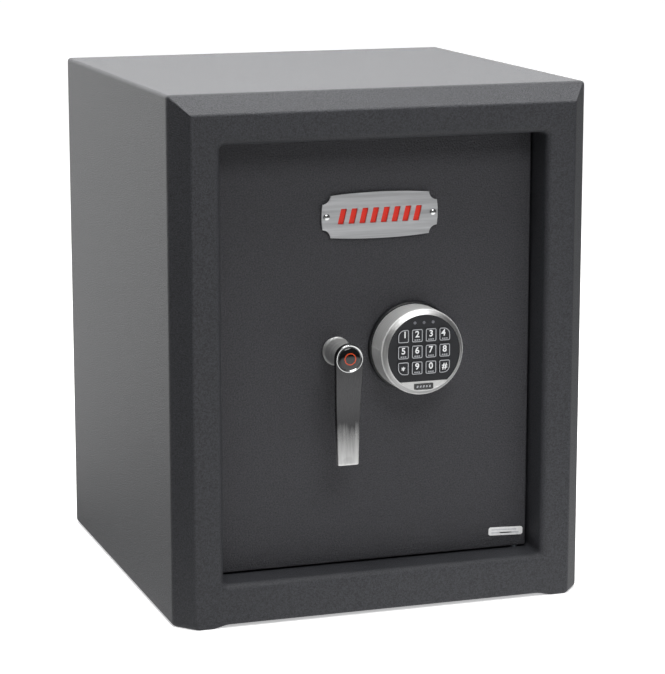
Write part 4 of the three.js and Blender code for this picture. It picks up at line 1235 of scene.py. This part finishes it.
    def print_text(self, bm, character, low, high, y):
        """Lays a digit on the upper part of the key and a short bar below it."""
        curve = bpy.data.curves.new("digit", "FONT")
        curve.body = character
        curve.size = 8.3 * MM
        curve.offset = 0.2 * MM
        curve.align_x = "CENTER"
        curve.resolution_u = 4
        holder = placed("digit", curve)
        flat = finished_mesh(holder)
        xs = [v.co.x for v in flat.vertices]
        zs = [v.co.y for v in flat.vertices]
        centre_x = (low[0] + high[0]) / 2 - (min(xs) + max(xs)) / 2
        plain = character in "*#"
        centre_x += {"1": 1.4 * MM, "4": -1.4 * MM}.get(character, 0.0)
        centre_z = (low[2] + high[2]) / 2 - (min(zs) + max(zs)) / 2 + (0.0 if plain else 1.5 * MM)
        verts = [bm.verts.new((v.co.x + centre_x, y, v.co.y + centre_z)) for v in flat.vertices]
        for polygon in flat.polygons:
            face = bm.faces.new([verts[i] for i in polygon.vertices])
            face.material_index = 2
        bpy.data.objects.remove(holder)
        bpy.data.curves.remove(curve)
        bpy.data.meshes.remove(flat)
        if plain or character == "1":
            return
        x, z = (low[0] + high[0]) / 2, low[2] + 2.35 * MM
        for k in (-1, 0, 1):
            corners = [(-0.75, -0.5), (0.75, -0.5), (0.75, 0.5), (-0.75, 0.5)]
            flat_print(bm, moved((x + k * 2.0 * MM, z), *corners), y, 1)

    def lamps(self):
        """Three small lamp lenses above the keys, over the lamps on the circuit board."""
        pitch, height = 8.8 * MM, 28.0 * MM
        top = max(self.front, DOOR_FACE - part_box("circuit_board")[0][1]) + 0.15 * MM
        profile = moved((0, self.front), (1.4, -1)) + moved((0, top), (1.4, -0.15), (1.2, -0.04), (0.6, 0))
        for number in (1, 2, 3):
            bm = bmesh.new()
            centre = KEYPAD_AXIS + Vector(((number - 2) * pitch, 0, height))
            lathe(bm, centre, profile, 24, cap_start=True, cap_end=True)
            make_piece(f"lamp_lens_{number}", bm, ["lens"], "keypad", "circuit_board", sharp=60)


class SAFE_OT_inside(bpy.types.Operator):
    """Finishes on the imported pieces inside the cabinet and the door"""

    bl_idname = "safe.inside"
    bl_label = "Inside pieces"

    finishes = {
        "body_coat": ["back_panel"],
        "liner_coat": ["liner_wrap", "liner_back", "shelf", "door_pan"],
        "infill": ["wall_infill"],
        "felt": ["floor_mat"],
        "zinc": ["pivot_pin_top", "pivot_pin_bottom", "shelf_support_left", "shelf_support_right"]
        + ["dog_bolt_lower", "dog_bolt_upper", "bolt_guide", "hard_plate", "lock_case", "spindle_bush"]
        + ["handle_spindle", "pinion", "spindle_clip", "side_bolt_carriage"],
        "polished": ["top_bolt_bar", "bottom_bolt_bar", "side_bolt_lower", "side_bolt_middle"]
        + ["side_bolt_upper", "lock_bolt"],
        "black_abs": ["anchor_plug"],
        "board": ["circuit_board"],
        "battery": ["battery"],
        "cable": ["keypad_cable"],
    }
    bevels = {"back_panel": 0.6, "liner_wrap": 0.4, "shelf": 0.4, "door_pan": 0.5, "lock_case": 0.8}

    def execute(self, context):
        for material, nodes in self.finishes.items():
            for node in nodes:
                finish_node(node, material, self.bevels.get(node, 0.0))
        return {"FINISHED"}


class SAFE_PT_panel(bpy.types.Panel):
    """Shows the safe's sizes and colours, and a button for each building step"""

    bl_idname = "SAFE_PT_panel"
    bl_label = "Safe"
    bl_space_type = "VIEW_3D"
    bl_region_type = "UI"
    bl_category = "Safe"

    def draw(self, context):
        for settings in (context.scene.safe_sizes, context.scene.safe_colours):
            box = self.layout.box()
            for name in settings.__annotations__:
                box.prop(settings, name)
        for operator in OPERATORS:
            self.layout.operator(operator.bl_idname)


OPERATORS = (
    SAFE_OT_stage,
    SAFE_OT_casing,
    SAFE_OT_door,
    SAFE_OT_name_plate,
    SAFE_OT_lever,
    SAFE_OT_keypad,
    SAFE_OT_inside,
)
CLASSES = (SafeSizes, SafeColours, *OPERATORS, SAFE_PT_panel)


def register():
    for cls in CLASSES:
        bpy.utils.register_class(cls)
    bpy.types.Scene.safe_sizes = bpy.props.PointerProperty(type=SafeSizes)
    bpy.types.Scene.safe_colours = bpy.props.PointerProperty(type=SafeColours)


def unregister():
    del bpy.types.Scene.safe_colours
    del bpy.types.Scene.safe_sizes
    for cls in reversed(CLASSES):
        bpy.utils.unregister_class(cls)


def main():
    register()
    make_materials(bpy.context.scene.safe_colours)
    bpy.ops.safe.stage()
    bpy.ops.safe.casing()
    bpy.ops.safe.door()
    bpy.ops.safe.name_plate()
    bpy.ops.safe.lever()
    bpy.ops.safe.keypad()
    bpy.ops.safe.inside()


if __name__ == "__main__":
    main()
